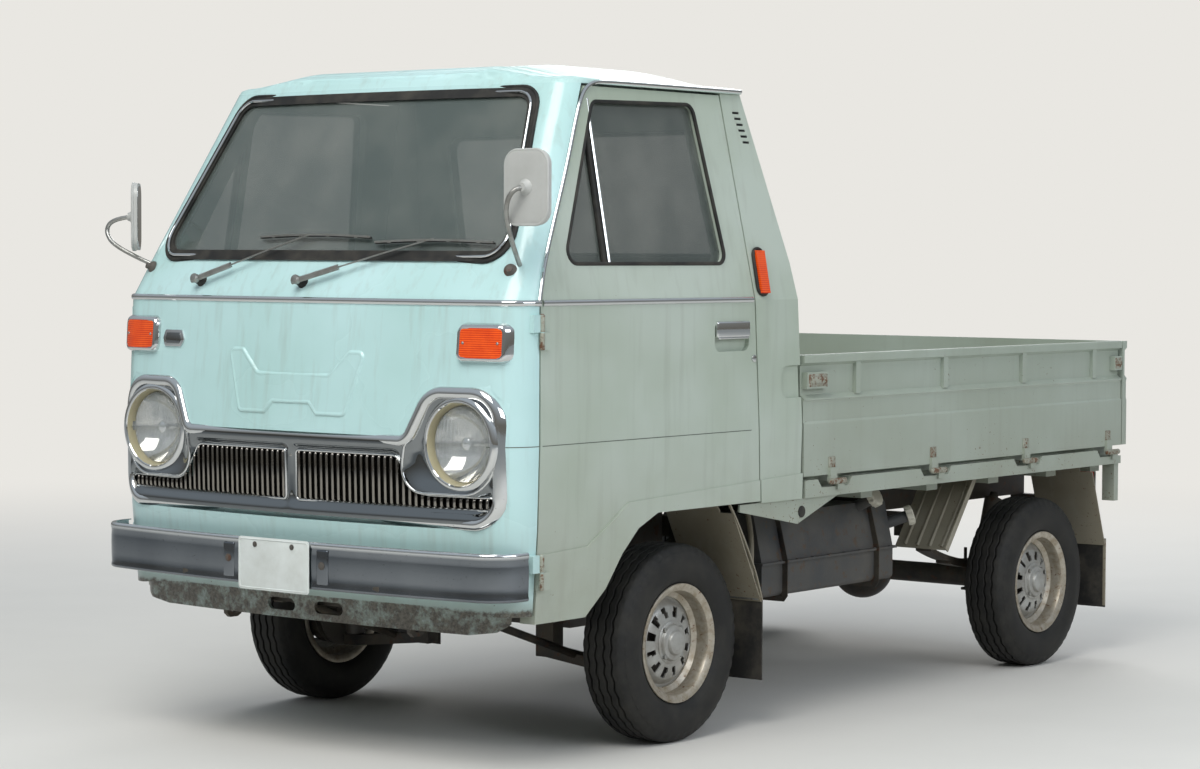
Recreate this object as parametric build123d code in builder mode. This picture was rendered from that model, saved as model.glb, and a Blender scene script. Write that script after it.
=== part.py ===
from build123d import *
import math
import os

os.makedirs("parts", exist_ok=True)

# Kei pickup truck, millimetres. +X forwards, +Y the truck's left side, +Z up.
# The origin is on the ground, at mid length and mid width.

# Driving dimensions of the whole truck
nose_x = 1497.5
tail_x = -1497.5
body_half = 647.5
front_axle_x = 720.0
rear_axle_x = -1040.0
wheel_y = 557.0
tyre_r = 243.0
tyre_width = 140.0
axle_z = tyre_r
joint_gap = 5.5
seat_gap = 0.3

# Cab plan at each height. The nose is an arc, rounded into straight sides.
# Columns: height, nose on the centre line, nose at the side, half width, corner radius, rear face
cab_levels = [
    (310.0, 1412.0, 1374.0, 626.0, 90.0, 245.0),
    (345.0, 1415.0, 1376.0, 628.0, 90.0, 245.0),
    (560.0, 1440.0, 1385.0, 642.0, 100.0, 245.0),
    (755.0, 1446.0, 1389.0, body_half, 100.0, 245.0),
    (1075.0, 1408.0, 1367.0, body_half, 76.0, 268.0),
    (1165.0, 1358.0, 1312.0, 630.8, 60.0, 281.0),
    (1600.0, 1118.0, 1071.0, 550.4, 60.0, 399.0),
    (1700.0, 1063.0, 1016.0, 531.9, 60.0, 426.0),
]
roof_peak_x = 640.0
roof_peak_z = 1655.0
roof_front_x = 1150.0
roof_front_z = 1580.0
roof_shoulder_x = 985.0
roof_shoulder_z = 1636.0
roof_rear_x = 380.0
roof_rear_z = 1640.0
roof_edge_r = 46.0
roof_camber = 14.0
roof_split_z = 1588.0
front_wall = 30.0
side_wall = 40.0
rear_wall = 25.0
roof_wall = 22.0

# Side outline of a door
seam_x = 1297.0
belt_z = 1075.0
screen_base_z = 1165.0
pillar_top_x = 1026.0
door_top_z = 1582.0
door_rear_top_x = 487.0
door_rear_belt_x = 459.0
door_rear_low_x = 425.0
door_low_z = 345.0
door_low_rear_x = 1112.0
arch_z = 572.0
glass_thick = 5.0
glass_inset = 14.0
divider_x = 1021.0
divider_width = 16.0

# Door hinges, outside the skin on the front edge
hinge_r = 5.5
hinge_x = 1300.0
hinge_y = body_half + hinge_r + 0.6
hinge_length = 80.0
door_hinge_z = [1010.0, 465.0]

# Bed
bed_front_x = 228.0
gate_front_x = 236.0
gate_low_z = 622.0
gate_top_z = 932.0
gate_thick = 30.0
tailgate_hinge_r = 7.0
tailgate_x = tail_x + 2 * tailgate_hinge_r + 0.6
tailgate_thick = 26.0
deck_rear_x = tailgate_x + tailgate_thick + joint_gap
deck_z = 626.0
deck_thick = 24.0
sill_top_z = 612.0
sill_low_z = 567.0
gate_hinge_z = 604.0
gate_hinge_r = 7.0
gate_hinge_y = body_half + gate_hinge_r + 0.6
gate_hinge_x = [91.0, -404.0, -901.0, -1386.0]

# Frame and running gear
rail_y = 300.0
rail_width = 50.0
rail_low_z = 345.0
rail_height = 80.0
rail_kick = 115.0
kingpin_y = 455.0
kingpin_r = 10.0
pin_clearance = 0.05
spindle_r = 15.0
rim_r = 129.3
flange_r = 145.0
spring_y = 400.0

signs = {"left": 1, "right": -1}


def at_height(column, z):
    """Value of one column of the cab table at a height between its rows."""
    for low, high in zip(cab_levels, cab_levels[1:]):
        if z <= high[0]:
            share = (z - low[0]) / (high[0] - low[0])
            return low[column] + share * (high[column] - low[column])
    return cab_levels[-1][column]


def side_y(z):
    return at_height(3, z)


def block(x_span, y_span, z_span, mode=Mode.ADD):
    """Box between two corners."""
    with BuildSketch(Plane.XY.offset(z_span[0])) as base:
        with Locations(((x_span[0] + x_span[1]) / 2, (y_span[0] + y_span[1]) / 2)):
            Rectangle(x_span[1] - x_span[0], y_span[1] - y_span[0])
    extrude(base.sketch, amount=z_span[1] - z_span[0], mode=mode)


def outline_prism(plane, points, depth, radius, mode):
    """Closed outline on a plane, its corners rounded, made solid along the plane's normal."""
    with BuildSketch(plane) as outline:
        with BuildLine():
            Polyline(*points, close=True)
        make_face()
        if radius:
            fillet(outline.vertices(), radius)
    extrude(outline.sketch, amount=depth, mode=mode)


def side_prism(points, y_span, radius=0, mode=Mode.ADD):
    """Outline in x and z, solid across y."""
    outline_prism(Plane.XZ.offset(-y_span[1]), points, y_span[1] - y_span[0], radius, mode)


def front_prism(points, x_span, radius=0, mode=Mode.ADD):
    """Outline in y and z, solid along x."""
    outline_prism(Plane.YZ.offset(x_span[0]), points, x_span[1] - x_span[0], radius, mode)


def rod(start, end, radius, mode=Mode.ADD):
    """Round bar between two points."""
    a = Vector(*start)
    b = Vector(*end)
    with BuildSketch(Plane(origin=a, z_dir=b - a)) as section:
        Circle(radius)
    extrude(section.sketch, amount=(b - a).length, mode=mode)


def bent_rod(points, radius):
    """Round bar along a bent line, rounded at its bends."""
    for start, end in zip(points, points[1:]):
        rod(start, end, radius)
    for point in points[1:-1]:
        with Locations(point):
            Sphere(radius)


def mirrored(points):
    return [(-y, z) for y, z in reversed(points)]


def save(part, label):
    part.label = label
    export_step(part, "parts/" + label + ".step")


def side_slab(sign, near, far, low, high, x_span, mode=Mode.ADD):
    """Slab that follows the cab side, between two depths under the skin and two heights."""
    heights = [low] + [row[0] for row in cab_levels if low < row[0] < high] + [high]
    points = [(side_y(z) - near, z) for z in heights] + [(side_y(z) - far, z) for z in reversed(heights)]
    front_prism(points if sign > 0 else mirrored(points), x_span, mode=mode)


def cab_form(front, side, rear):
    """Loft of the cab plans, each face moved in by its own amount."""
    sections = []
    with BuildPart() as form:
        for z, nose, nose_side, half, corner, back in cab_levels:
            with BuildSketch(Plane.XY.offset(z)) as plan:
                with BuildLine():
                    Polyline(
                        (nose_side - front, side - half),
                        (back + rear, side - half),
                        (back + rear, half - side),
                        (nose_side - front, half - side),
                    )
                    ThreePointArc(
                        (nose_side - front, half - side),
                        (nose - front, 0),
                        (nose_side - front, side - half),
                    )
                make_face()
                fillet(plan.vertices().sort_by(Axis.X)[-2:], max(corner - min(front, side), 20))
            sections.append(plan.sketch.faces()[0])
        loft(sections, ruled=True)
    return form.part


def cab_volume(front, side, rear, top):
    """The cab form under its crowned roof."""
    with BuildPart() as volume:
        add(cab_form(front, side, rear))
        with BuildSketch(Plane.XZ.offset(-body_half - 50)) as roofline:
            with BuildLine():
                Polyline(
                    (roof_rear_x - 200, roof_rear_z - top),
                    (roof_rear_x - 200, 0),
                    (nose_x + 50, 0),
                    (nose_x + 50, roof_front_z - top),
                    (roof_front_x, roof_front_z - top),
                )
                Line((roof_rear_x - 200, roof_rear_z - top), (roof_rear_x, roof_rear_z - top))
                ThreePointArc(
                    (roof_rear_x, roof_rear_z - top),
                    (roof_peak_x, roof_peak_z - top),
                    (roof_shoulder_x, roof_shoulder_z - top),
                )
                ThreePointArc(
                    (roof_shoulder_x, roof_shoulder_z - top),
                    ((roof_shoulder_x + roof_front_x) / 2 + 22, (roof_shoulder_z + roof_front_z) / 2 + 12 - top),
                    (roof_front_x, roof_front_z - top),
                )
            make_face()
        extrude(roofline.sketch, amount=2 * body_half + 100, mode=Mode.INTERSECT)
        edge_y = side_y(roof_split_z) - side
        edge_z = roof_split_z + 8 - top
        crown_z = edge_z + roof_edge_r
        with BuildSketch(Plane.YZ) as across:
            with BuildLine():
                Polyline(
                    (-edge_y, edge_z),
                    (-body_half - 20, edge_z),
                    (-body_half - 20, 0),
                    (body_half + 20, 0),
                    (body_half + 20, edge_z),
                    (edge_y, edge_z),
                )
                TangentArc((edge_y, edge_z), (edge_y - roof_edge_r, crown_z), tangent=(0, 1))
                ThreePointArc(
                    (edge_y - roof_edge_r, crown_z),
                    (0, crown_z + roof_camber),
                    (roof_edge_r - edge_y, crown_z),
                )
                TangentArc((-edge_y, edge_z), (roof_edge_r - edge_y, crown_z), tangent=(0, 1))
            make_face()
        extrude(across.sketch, amount=nose_x + 50, mode=Mode.INTERSECT)
    return volume.part


# Cab skin
cab_outer = cab_volume(0, 0, 0, 0)
cab_inner = cab_volume(front_wall, side_wall, rear_wall, roof_wall)
with BuildPart() as shell:
    add(cab_outer)
    add(cab_inner, mode=Mode.SUBTRACT)
cab_shell = shell.part

# Side outlines of the door, of the cab front and of the cab rear
door_outline = [
    (seam_x, door_low_z),
    (seam_x, belt_z),
    (at_height(2, screen_base_z) - 55, screen_base_z),
    (pillar_top_x, door_top_z),
    (door_rear_top_x, door_top_z),
    (door_rear_belt_x, belt_z),
    (door_rear_low_x, arch_z),
    (850, arch_z),
    (924, 540),
    (982, 484),
    (1039, 406),
    (door_low_rear_x, door_low_z),
]
front_outline = [
    (seam_x + joint_gap, 300),
    (seam_x + joint_gap, belt_z + 2),
    (at_height(2, screen_base_z) - 55 + joint_gap, screen_base_z + 2),
    (pillar_top_x + 8, roof_split_z),
    (nose_x, roof_split_z),
    (nose_x, 300),
]
rear_outline = [
    (door_rear_top_x - joint_gap, roof_split_z),
    (door_rear_belt_x - joint_gap, belt_z),
    (door_rear_low_x - joint_gap, arch_z - 5),
    (180, arch_z - 5),
    (180, roof_split_z),
]
# Pressed flare over the wheel arch
flare_out = 3.5
flare_outline = [(240, 632), (965, 604), (1115, 512), (seam_x, 503), (seam_x, door_low_z), (240, door_low_z)]
window_outline = [
    (1192, screen_base_z),
    (1004, 1546),
    (606, 1554),
    (556, screen_base_z),
]
whole_width = (-body_half - 60, body_half + 60)

# Windscreen opening, seen from the front
screen_outline = [(576, 1170), (480, 1578), (-480, 1578), (-576, 1170)]
screen_inner = [(550, 1194), (462, 1556), (-462, 1556), (-550, 1194)]
screen_r = 60.0

# Lamp and grille opening, seen from the front, left half
grille_half = [
    (0, 556),
    (560, 562),
    (612, 620),
    (612, 850),
    (575, 884),
    (430, 884),
    (385, 850),
    (345, 768),
    (0, 750),
]
grille_outline = grille_half[1:-1] + mirrored(grille_half[1:-1])
lamp_y = 496.0
lamp_z = 755.0
lamp_r = 89.0

# Long cuts through the nose, and the depth of the grille's recess
nose_span = (1200.0, nose_x)
screen_span = (900.0, nose_x)
recess_depth = 20.0


def nose_layer(out, back, low, high):
    """Skin of the cab's front between two depths and two heights."""
    with BuildPart() as layer:
        add(cab_form(-out, -out, 0))
        block(screen_span, whole_width, (low, high), Mode.INTERSECT)
        add(cab_form(back, back, 0), mode=Mode.SUBTRACT)
    return layer.part


with BuildPart() as recess:
    add(nose_layer(0, recess_depth, 500, 950))
    front_prism(grille_outline, nose_span, 24, Mode.INTERSECT)
grille_recess = recess.part

# Bumper brackets pass through the front panel to the frame
bumper_low_z = 405.0
bumper_top_z = 515.0
bracket_half = 20.0
bracket_z = (bumper_low_z + 5, bumper_low_z + 20)

# Flares of the two sides, for the doors and the rear wall
flares = {}
for sign in signs.values():
    with BuildPart() as flare:
        side_slab(sign, -flare_out, 1, door_low_z, 640, (230, seam_x))
        side_prism(flare_outline, whole_width, mode=Mode.INTERSECT)
    flares[sign] = flare.part

# Valance with two slots, set back under the front panel's low edge
panel_low_edge = [(-700, 362), (-560, 366), (-400, 380), (400, 380), (560, 366), (700, 362), (700, 200), (-700, 200)]
valance_in = 26.0
valance_thick = 8.0
valance_outline = [
    (-600, 400),
    (-600, 352),
    (-560, 326),
    (-490, 316),
    (490, 316),
    (560, 326),
    (600, 352),
    (600, 400),
]
slot_y = 77.0
slot_width = 90.0
slot_height = 30.0
slot_z = 348.0
with BuildPart() as valance:
    add(nose_layer(-valance_in, valance_in + valance_thick, 312, 402))
    front_prism(valance_outline, (1330, nose_x), mode=Mode.INTERSECT)
    with BuildSketch(Plane.YZ.offset(nose_span[0])) as slots:
        with Locations((-slot_y, slot_z), (slot_y, slot_z)):
            SlotOverall(slot_width, slot_height)
    extrude(slots.sketch, amount=300, mode=Mode.SUBTRACT)

# Raised pressing over the grille: a wide U with a notch under it
pressing_height = 3.0
pressing_half = [(62, 836), (85, 811), (170, 811), (216, 956), (175, 956), (118, 900)]
with BuildPart() as pressing:
    add(nose_layer(pressing_height, 1, 790, 980))
    front_prism(pressing_half + mirrored(pressing_half), nose_span, 8, Mode.INTERSECT)

# Front panel with its windscreen opening and grille recess
with BuildPart() as cab_front_panel:
    add(cab_shell)
    side_prism(front_outline, whole_width, mode=Mode.INTERSECT)
    front_prism(screen_outline, screen_span, screen_r, Mode.SUBTRACT)
    add(grille_recess, mode=Mode.SUBTRACT)
    with BuildSketch(Plane.YZ.offset(nose_span[0])) as lamp_holes:
        with Locations((-lamp_y, lamp_z), (lamp_y, lamp_z)):
            Circle(lamp_r + 9)
    extrude(lamp_holes.sketch, amount=300, mode=Mode.SUBTRACT)
    front_prism(panel_low_edge, nose_span, mode=Mode.SUBTRACT)
    add(valance.part)
    add(pressing.part)
    for sign in signs.values():
        block(
            (1300, nose_x),
            sorted((sign * (rail_y - bracket_half - 1), sign * (rail_y + bracket_half + 1))),
            (bracket_z[0] - 1, bracket_z[1] + 1),
            Mode.SUBTRACT,
        )
        for z in door_hinge_z:
            start = (hinge_x, sign * hinge_y, z + seat_gap)
            rod(start, (hinge_x, sign * hinge_y, z + hinge_length / 2), hinge_r)
            block(
                (hinge_x, hinge_x + 30),
                sorted((sign * (side_y(z) - 10), sign * hinge_y)),
                (z + seat_gap, z + hinge_length / 2),
            )
save(cab_front_panel.part, "cab_front_panel")

# Roof with its drip ledges
with BuildPart() as cab_roof:
    add(cab_shell)
    block((180, nose_x), whole_width, (roof_split_z, 1700), Mode.INTERSECT)
    for sign in signs.values():
        edge = side_y(roof_split_z)
        block((roof_rear_x + 20, 985), sorted((sign * (edge - 12), sign * (edge + 9))), (roof_split_z, roof_split_z + 9))
save(cab_roof.part, "cab_roof")

# Rear wall with its pillars and window
rear_window = [(450, 1180), (420, 1500), (-420, 1500), (-450, 1180)]
louvre_count = 6
louvre_pitch = 14.6
louvre_top = (425.0, 1541.0)
louvre_shift = 5.4
louvre_size = (27.0, 6.0)
latch_pocket = [(340, 826), (340, 908), (150, 908), (150, 826)]
with BuildPart() as cab_rear_wall:
    add(cab_shell)
    for sign in signs.values():
        add(flares[sign])
    side_prism(rear_outline, whole_width, mode=Mode.INTERSECT)
    front_prism(rear_window, (100, 460), 50, Mode.SUBTRACT)
    for sign in signs.values():
        side_prism(latch_pocket, sorted((sign * (body_half - 8), sign * (body_half + 9))), 30, Mode.SUBTRACT)
        for index in range(louvre_count):
            x = louvre_top[0] - index * louvre_shift
            z = louvre_top[1] - index * louvre_pitch
            block(
                (x - louvre_size[0] / 2, x + louvre_size[0] / 2),
                sorted((sign * (side_y(z) - 7), sign * body_half)),
                (z - louvre_size[1] / 2, z + louvre_size[1] / 2),
                Mode.SUBTRACT,
            )
save(cab_rear_wall.part, "cab_rear_wall")

# Rubber ring round the windscreen, and the glass in it
with BuildPart() as windscreen_seal:
    add(nose_layer(5, 16, 1120, 1588))
    front_prism(screen_outline, screen_span, screen_r, Mode.INTERSECT)
    front_prism(screen_inner, screen_span, screen_r - 22, Mode.SUBTRACT)
save(windscreen_seal.part, "windscreen_seal")

with BuildPart() as rear_pane:
    lean = [(at_height(5, z) + shift, z) for z, shift in ((1170, 10), (1510, 10), (1510, 15), (1170, 15))]
    side_prism(lean, whole_width)
    front_prism(rear_window, (100, 460), 50, Mode.INTERSECT)
with BuildPart() as cab_glass:
    add(nose_layer(-2, 7, 1120, 1588))
    front_prism(screen_inner, screen_span, screen_r - 22, Mode.INTERSECT)
    add(rear_pane.part)
save(cab_glass.part, "cab_glass")


# Doors with their window openings, quarter light bars, handles and hinge halves
window_low = screen_base_z - 5
window_high = 1560.0
handle_x = (482.0, 626.0)
handle_z = (950.0, 1024.0)
handle_recess = 12.0
flap_low_z = 985.0
bar = (divider_x - divider_width / 2, divider_x + divider_width / 2)
with BuildPart() as door_left:
    side_slab(1, 0, side_wall, door_low_z, door_top_z, (400, seam_x))
    add(flares[1])
    side_prism(door_outline, whole_width, mode=Mode.INTERSECT)
    side_prism(window_outline, whole_width, 28, Mode.SUBTRACT)
    side_slab(1, 8, 28, window_low, window_high, bar)
    pocket = [(x, z) for x in handle_x for z in handle_z]
    pocket = [pocket[0], pocket[1], pocket[3], pocket[2]]
    side_prism(pocket, (body_half - handle_recess, body_half + 9), 20, Mode.SUBTRACT)
    for x in (handle_x[0] + 24, handle_x[1] - 24):
        post_z = handle_z[1] - 16
        rod((x, body_half - handle_recess - 2, post_z), (x, body_half, post_z), 6)
    block(
        (handle_x[0] + 4, handle_x[1] - 4),
        (body_half - 2, body_half + 6),
        (flap_low_z, handle_z[1] - 2),
    )
    for z in door_hinge_z:
        rod((hinge_x, hinge_y, z - hinge_length / 2), (hinge_x, hinge_y, z), hinge_r)
        block((hinge_x - 30, hinge_x), (side_y(z) - 10, hinge_y), (z - hinge_length / 2, z))
save(door_left.part, "door_left")
with BuildPart() as door_right:
    mirror(door_left.part, about=Plane.XZ)
save(door_right.part, "door_right")

with BuildPart() as door_glass_left:
    side_slab(1, glass_inset, glass_inset + glass_thick, window_low, window_high, (540, 1260))
    side_prism(window_outline, whole_width, 28, Mode.INTERSECT)
    block(bar, whole_width, (window_low - 10, window_high + 10), Mode.SUBTRACT)
save(door_glass_left.part, "door_glass_left")
with BuildPart() as door_glass_right:
    mirror(door_glass_left.part, about=Plane.XZ)
save(door_glass_right.part, "door_glass_right")

# Cab floor: foot well in front, raised over the wheels and the engine behind
foot_z = 440.0
floor_z = 585.0
floor_thick = 15.0
riser_x = 1046.0
floor_side = side_wall + 7
seat_base_front_x = 860.0
seat_base_rear_x = 430.0
seat_base_z = 700.0
seat_base_half = 560.0
floor_outline = [
    (1420, foot_z),
    (1420, foot_z + floor_thick),
    (riser_x, foot_z + floor_thick),
    (riser_x, floor_z + floor_thick),
    (seat_base_front_x, floor_z + floor_thick),
    (seat_base_front_x, seat_base_z),
    (seat_base_rear_x, seat_base_z),
    (seat_base_rear_x, floor_z + floor_thick),
    (200, floor_z + floor_thick),
    (200, floor_z),
    (riser_x - floor_thick, floor_z),
    (riser_x - floor_thick, foot_z),
]
with BuildPart() as cab_floor:
    add(cab_volume(front_wall + seat_gap, floor_side, rear_wall + seat_gap, roof_wall))
    side_prism(floor_outline, whole_width, mode=Mode.INTERSECT)
    hatch_x = (seat_base_rear_x + floor_thick, seat_base_front_x - floor_thick)
    hatch_z = (floor_z - 1, seat_base_z - floor_thick)
    block(hatch_x, (-seat_base_half, seat_base_half), hatch_z, Mode.SUBTRACT)
save(cab_floor.part, "cab_floor")

# Instrument shelf across the cab, with the steering column under it
dash_low = 905.0
dash_top = 1085.0
dash_outline = [
    (1420, dash_top),
    (1250, dash_top),
    (1205, dash_top - 40),
    (1215, dash_low + 20),
    (1240, dash_low),
    (1420, dash_low),
]
column_y = -330.0
column_foot = (1190.0, column_y, foot_z + floor_thick)
wheel_hub = (985.0, column_y, 985.0)
column_axis = (Vector(*wheel_hub) - Vector(*column_foot)).normalized()
column_r = 22.0
hub_half = 14.0
with BuildPart() as dashboard:
    add(cab_volume(front_wall + seat_gap, floor_side, rear_wall, roof_wall))
    side_prism(dash_outline, whole_width, 12, Mode.INTERSECT)
    column_end = Vector(*wheel_hub) - column_axis * (hub_half + seat_gap)
    rod(column_foot, tuple(column_end), column_r)
    block((1100, 1300), (column_y - 60, column_y + 60), (foot_z - 30, foot_z + floor_thick), Mode.SUBTRACT)
    bracket_x = column_foot[0] + column_axis.X * 480
    block((bracket_x, 1300), (column_y - 40, column_y + 40), (dash_low - 40, dash_low + 10))
save(dashboard.part, "dashboard")

# Steering wheel: rim, two spokes and hub
steer_r = 190.0
steer_tube = 11.0
steer_plane = Plane(origin=wheel_hub, x_dir=(0, 1, 0), z_dir=tuple(column_axis))
steer_sides = 40
with BuildPart() as steering_wheel:
    with BuildSketch(steer_plane.offset(-steer_tube)) as rim_section:
        RegularPolygon(steer_r + steer_tube, steer_sides)
        RegularPolygon(steer_r - steer_tube, steer_sides, mode=Mode.SUBTRACT)
    extrude(rim_section.sketch, amount=2 * steer_tube)
    flat_faces = steering_wheel.faces().sort_by(SortBy.AREA)[-2:]
    chamfer(flat_faces.edges(), steer_tube * 0.55)
    with BuildSketch(steer_plane.offset(-hub_half)) as hub:
        Circle(34)
    extrude(hub.sketch, amount=2 * hub_half)
    with BuildSketch(steer_plane.offset(-6)) as spokes:
        Rectangle(2 * steer_r - 6, 26)
    extrude(spokes.sketch, amount=10)
save(steering_wheel.part, "steering_wheel")

# Bench seats: a cushion and a back for each person
seat_rows = [(45, 570), (-570, -45)]
cushion_front_x = 875.0
cushion_rear_x = 445.0
cushion_top_z = 800.0
back_front_x = cushion_rear_x - seat_gap
back_low_z = seat_base_z + seat_gap
back_outline = [
    (back_front_x, back_low_z),
    (392, back_low_z),
    (330, 1110),
    (345, 1150),
    (400, 1145),
    (back_front_x, 800),
]
with BuildPart() as seats:
    for y_span in seat_rows:
        block((cushion_rear_x, cushion_front_x), y_span, (seat_base_z + seat_gap, cushion_top_z))
        side_prism(back_outline, y_span, 12)
save(seats.part, "seats")

# Grille: chrome surround round the recess, lamp bezels and upright bars
surround_half = [
    (0, 582),
    (552, 588),
    (586, 630),
    (586, 840),
    (562, 858),
    (442, 858),
    (412, 838),
    (368, 744),
    (0, 726),
]
surround_inner = surround_half[1:-1] + mirrored(surround_half[1:-1])
bezel_low_z = 642.0
bezel_inner_y = 392.0
bar_pitch = 13.0
bar_width = 4.5
bar_count = 43
post_half = 9.0
bezel_half = [
    (bezel_inner_y, bezel_low_z),
    (600, bezel_low_z),
    (600, 870),
    (430, 870),
    (bezel_inner_y, 840),
]
bar_depth = 8.0
bar_low_z = 572.0
tall_bar_z = 735.0
short_bar_z = bezel_low_z + 6
last_bar_y = 560.0


def nose_arc_x(y, z):
    """Where the arc of the nose stands at a place across the cab."""
    sag = at_height(1, z) - at_height(2, z)
    arc_r = (side_y(z) ** 2 + sag ** 2) / (2 * sag)
    return at_height(1, z) - arc_r + math.sqrt(arc_r ** 2 - y ** 2)


bar_places = [post_half + bar_pitch * index for index in range(1, bar_count)]
tall_bars = [y for y in bar_places if y < bezel_inner_y - 30]
short_bars = [y for y in bar_places if bezel_inner_y - 30 <= y < last_bar_y]
with BuildPart() as bezels:
    front_prism(bezel_half, nose_span)
    front_prism(mirrored(bezel_half), nose_span)
    block(nose_span, (-post_half, post_half), (570, 740))
    add(nose_layer(-4, 12, 500, 950), mode=Mode.INTERSECT)
    front_prism(grille_outline, nose_span, 24, Mode.INTERSECT)
with BuildPart() as grille:
    add(nose_layer(8, recess_depth, 500, 950))
    front_prism(grille_outline, nose_span, 24, Mode.INTERSECT)
    front_prism(surround_inner, nose_span, 18, Mode.SUBTRACT)
    add(bezels.part)
    for places, top_z in ((tall_bars, tall_bar_z), (short_bars, short_bar_z)):
        centres = [(nose_arc_x(y, 650) - 8, sign * y) for y in places for sign in signs.values()]
        with BuildSketch(Plane.XY.offset(bar_low_z)) as bars:
            with Locations(*centres):
                Rectangle(bar_depth, bar_width)
        extrude(bars.sketch, amount=top_z - bar_low_z)
    for sign in signs.values():
        with BuildSketch(Plane.YZ.offset(1372)) as lamp_ring:
            with Locations((sign * lamp_y, lamp_z)):
                Circle(lamp_r + 8)
        extrude(lamp_ring.sketch, amount=34)
        with BuildSketch(Plane.YZ.offset(1300)) as lamp_bore:
            with Locations((sign * lamp_y, lamp_z)):
                Circle(lamp_r + seat_gap)
        extrude(lamp_bore.sketch, amount=200, mode=Mode.SUBTRACT)
save(grille.part, "grille")

# Headlamps: a domed lens on a bowl
lens_x = 1412.0
lens_bulge = 16.0
lens_r = (lamp_r ** 2 + lens_bulge ** 2) / (2 * lens_bulge)
lens_angle = math.asin(lamp_r / lens_r) / 2
with BuildPart() as headlamps:
    for sign in signs.values():
        lamp_plane = Plane(origin=(0, sign * lamp_y, lamp_z), x_dir=(1, 0, 0), z_dir=(0, -1, 0))
        with BuildSketch(lamp_plane) as lamp_half:
            with BuildLine():
                Polyline((lens_x, 0), (1330, 0), (1330, 38), (1376, lamp_r), (lens_x - lens_bulge, lamp_r))
                ThreePointArc(
                    (lens_x - lens_bulge, lamp_r),
                    (lens_x - lens_r + lens_r * math.cos(lens_angle), lens_r * math.sin(lens_angle)),
                    (lens_x, 0),
                )
            make_face()
        revolve(lamp_half.sketch, axis=Axis((0, sign * lamp_y, lamp_z), (1, 0, 0)))
save(headlamps.part, "headlamps")

# Front bumper: a bent bar with its brackets back to the frame
bumper_x = nose_x - 4
bumper_thick = 12.0
bumper_end_x = 1345.0
bumper_half = 655.0
bumper_sag = 52.0
with BuildPart() as front_bumper:
    with BuildSketch(Plane.XY.offset(bumper_low_z)) as bumper_face:
        for shift, mode in ((0, Mode.ADD), (bumper_thick, Mode.SUBTRACT)):
            corner_x = bumper_x - bumper_sag - shift
            corner_y = bumper_half - shift
            with BuildSketch(Plane.XY, mode=Mode.PRIVATE) as bumper_outline:
                with BuildLine():
                    Polyline(
                        (corner_x, -corner_y),
                        (bumper_end_x - shift, -corner_y),
                        (bumper_end_x - shift, corner_y),
                        (corner_x, corner_y),
                    )
                    ThreePointArc((corner_x, corner_y), (bumper_x - shift, 0), (corner_x, -corner_y))
                make_face()
                fillet(bumper_outline.vertices().sort_by(Axis.X)[-2:], 88 - shift)
            add(bumper_outline.sketch, mode=mode)
    extrude(bumper_face.sketch, amount=bumper_top_z - bumper_low_z)
    block((bumper_end_x - 40, bumper_end_x), whole_width, (0, 600), Mode.SUBTRACT)
    for sign in signs.values():
        block(
            (1362.3, bumper_x - bumper_thick / 2),
            sorted((sign * (rail_y - bracket_half), sign * (rail_y + bracket_half))),
            bracket_z,
        )
save(front_bumper.part, "front_bumper")

# Blank number plates, front and rear
plate_width = 230.0
plate_height = 125.0
plate_low_z = 392.0
rear_plate_z = 410.0
with BuildPart() as number_plates:
    block((bumper_x + seat_gap, nose_x), (-plate_width / 2, plate_width / 2), (plate_low_z, plate_low_z + plate_height))
    block(
        (deck_rear_x - seat_gap - 3, deck_rear_x - seat_gap),
        (-plate_width / 2, plate_width / 2),
        (rear_plate_z, rear_plate_z + plate_height),
    )
save(number_plates.part, "number_plates")

# Turn lamps: two on the nose, one on each rear pillar
turn_y = (497.0, 610.0)
turn_z = (952.0, 1020.0)
with BuildPart() as nose_lamps:
    add(nose_layer(14, 0, turn_z[0], turn_z[1]))
    block((1250, 1500), (-turn_y[1], turn_y[1]), turn_z, Mode.INTERSECT)
    block((1250, 1500), (-turn_y[0], turn_y[0]), turn_z, Mode.SUBTRACT)
with BuildPart() as turn_lamps:
    add(nose_lamps.part)
    for sign in signs.values():
        side_slab(sign, -14, 0, 1092, 1198, (404, 438))
save(turn_lamps.part, "turn_lamps")

# Side gate: a pressed panel with a hollowed band, ribs across it and a rolled top rail
gate_inner_y = body_half - gate_thick
gate_rear_x = deck_rear_x
band_low_z = 830.0
band_top_z = 904.0
band_depth = 14.0
gate_section = [
    (gate_inner_y, gate_low_z),
    (body_half, gate_low_z),
    (body_half, 756),
    (body_half - 4, 762),
    (body_half - 4, 812),
    (body_half, 820),
    (body_half - band_depth, band_low_z),
    (body_half - band_depth, band_top_z),
    (body_half, band_top_z + 8),
    (body_half, gate_top_z),
    (gate_inner_y, gate_top_z),
]
rib_x = [-20.0, -455.0, -880.0, -1290.0]
rib_width = 22.0
latch_z = (846.0, 888.0)
with BuildPart() as gate_left:
    front_prism(gate_section, (gate_rear_x, gate_front_x))
    with BuildSketch(Plane.XY.offset(band_low_z - 4)) as ribs:
        with Locations(*[(x, body_half - band_depth / 2 - 2) for x in rib_x]):
            Rectangle(rib_width, band_depth - 2)
    extrude(ribs.sketch, amount=band_top_z - band_low_z + 10)
    block((gate_front_x - 105, gate_front_x - 8), (body_half - band_depth, body_half + 4), latch_z)
    block((gate_rear_x + 6, gate_rear_x + 50), (body_half - band_depth, body_half + 4), latch_z)
    for x in gate_hinge_x:
        rod((x + seat_gap, gate_hinge_y, gate_hinge_z), (x + 35, gate_hinge_y, gate_hinge_z), gate_hinge_r)
        block((x + 2, x + 33), (body_half - 3, gate_hinge_y), (gate_hinge_z, gate_low_z + 18))
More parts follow.
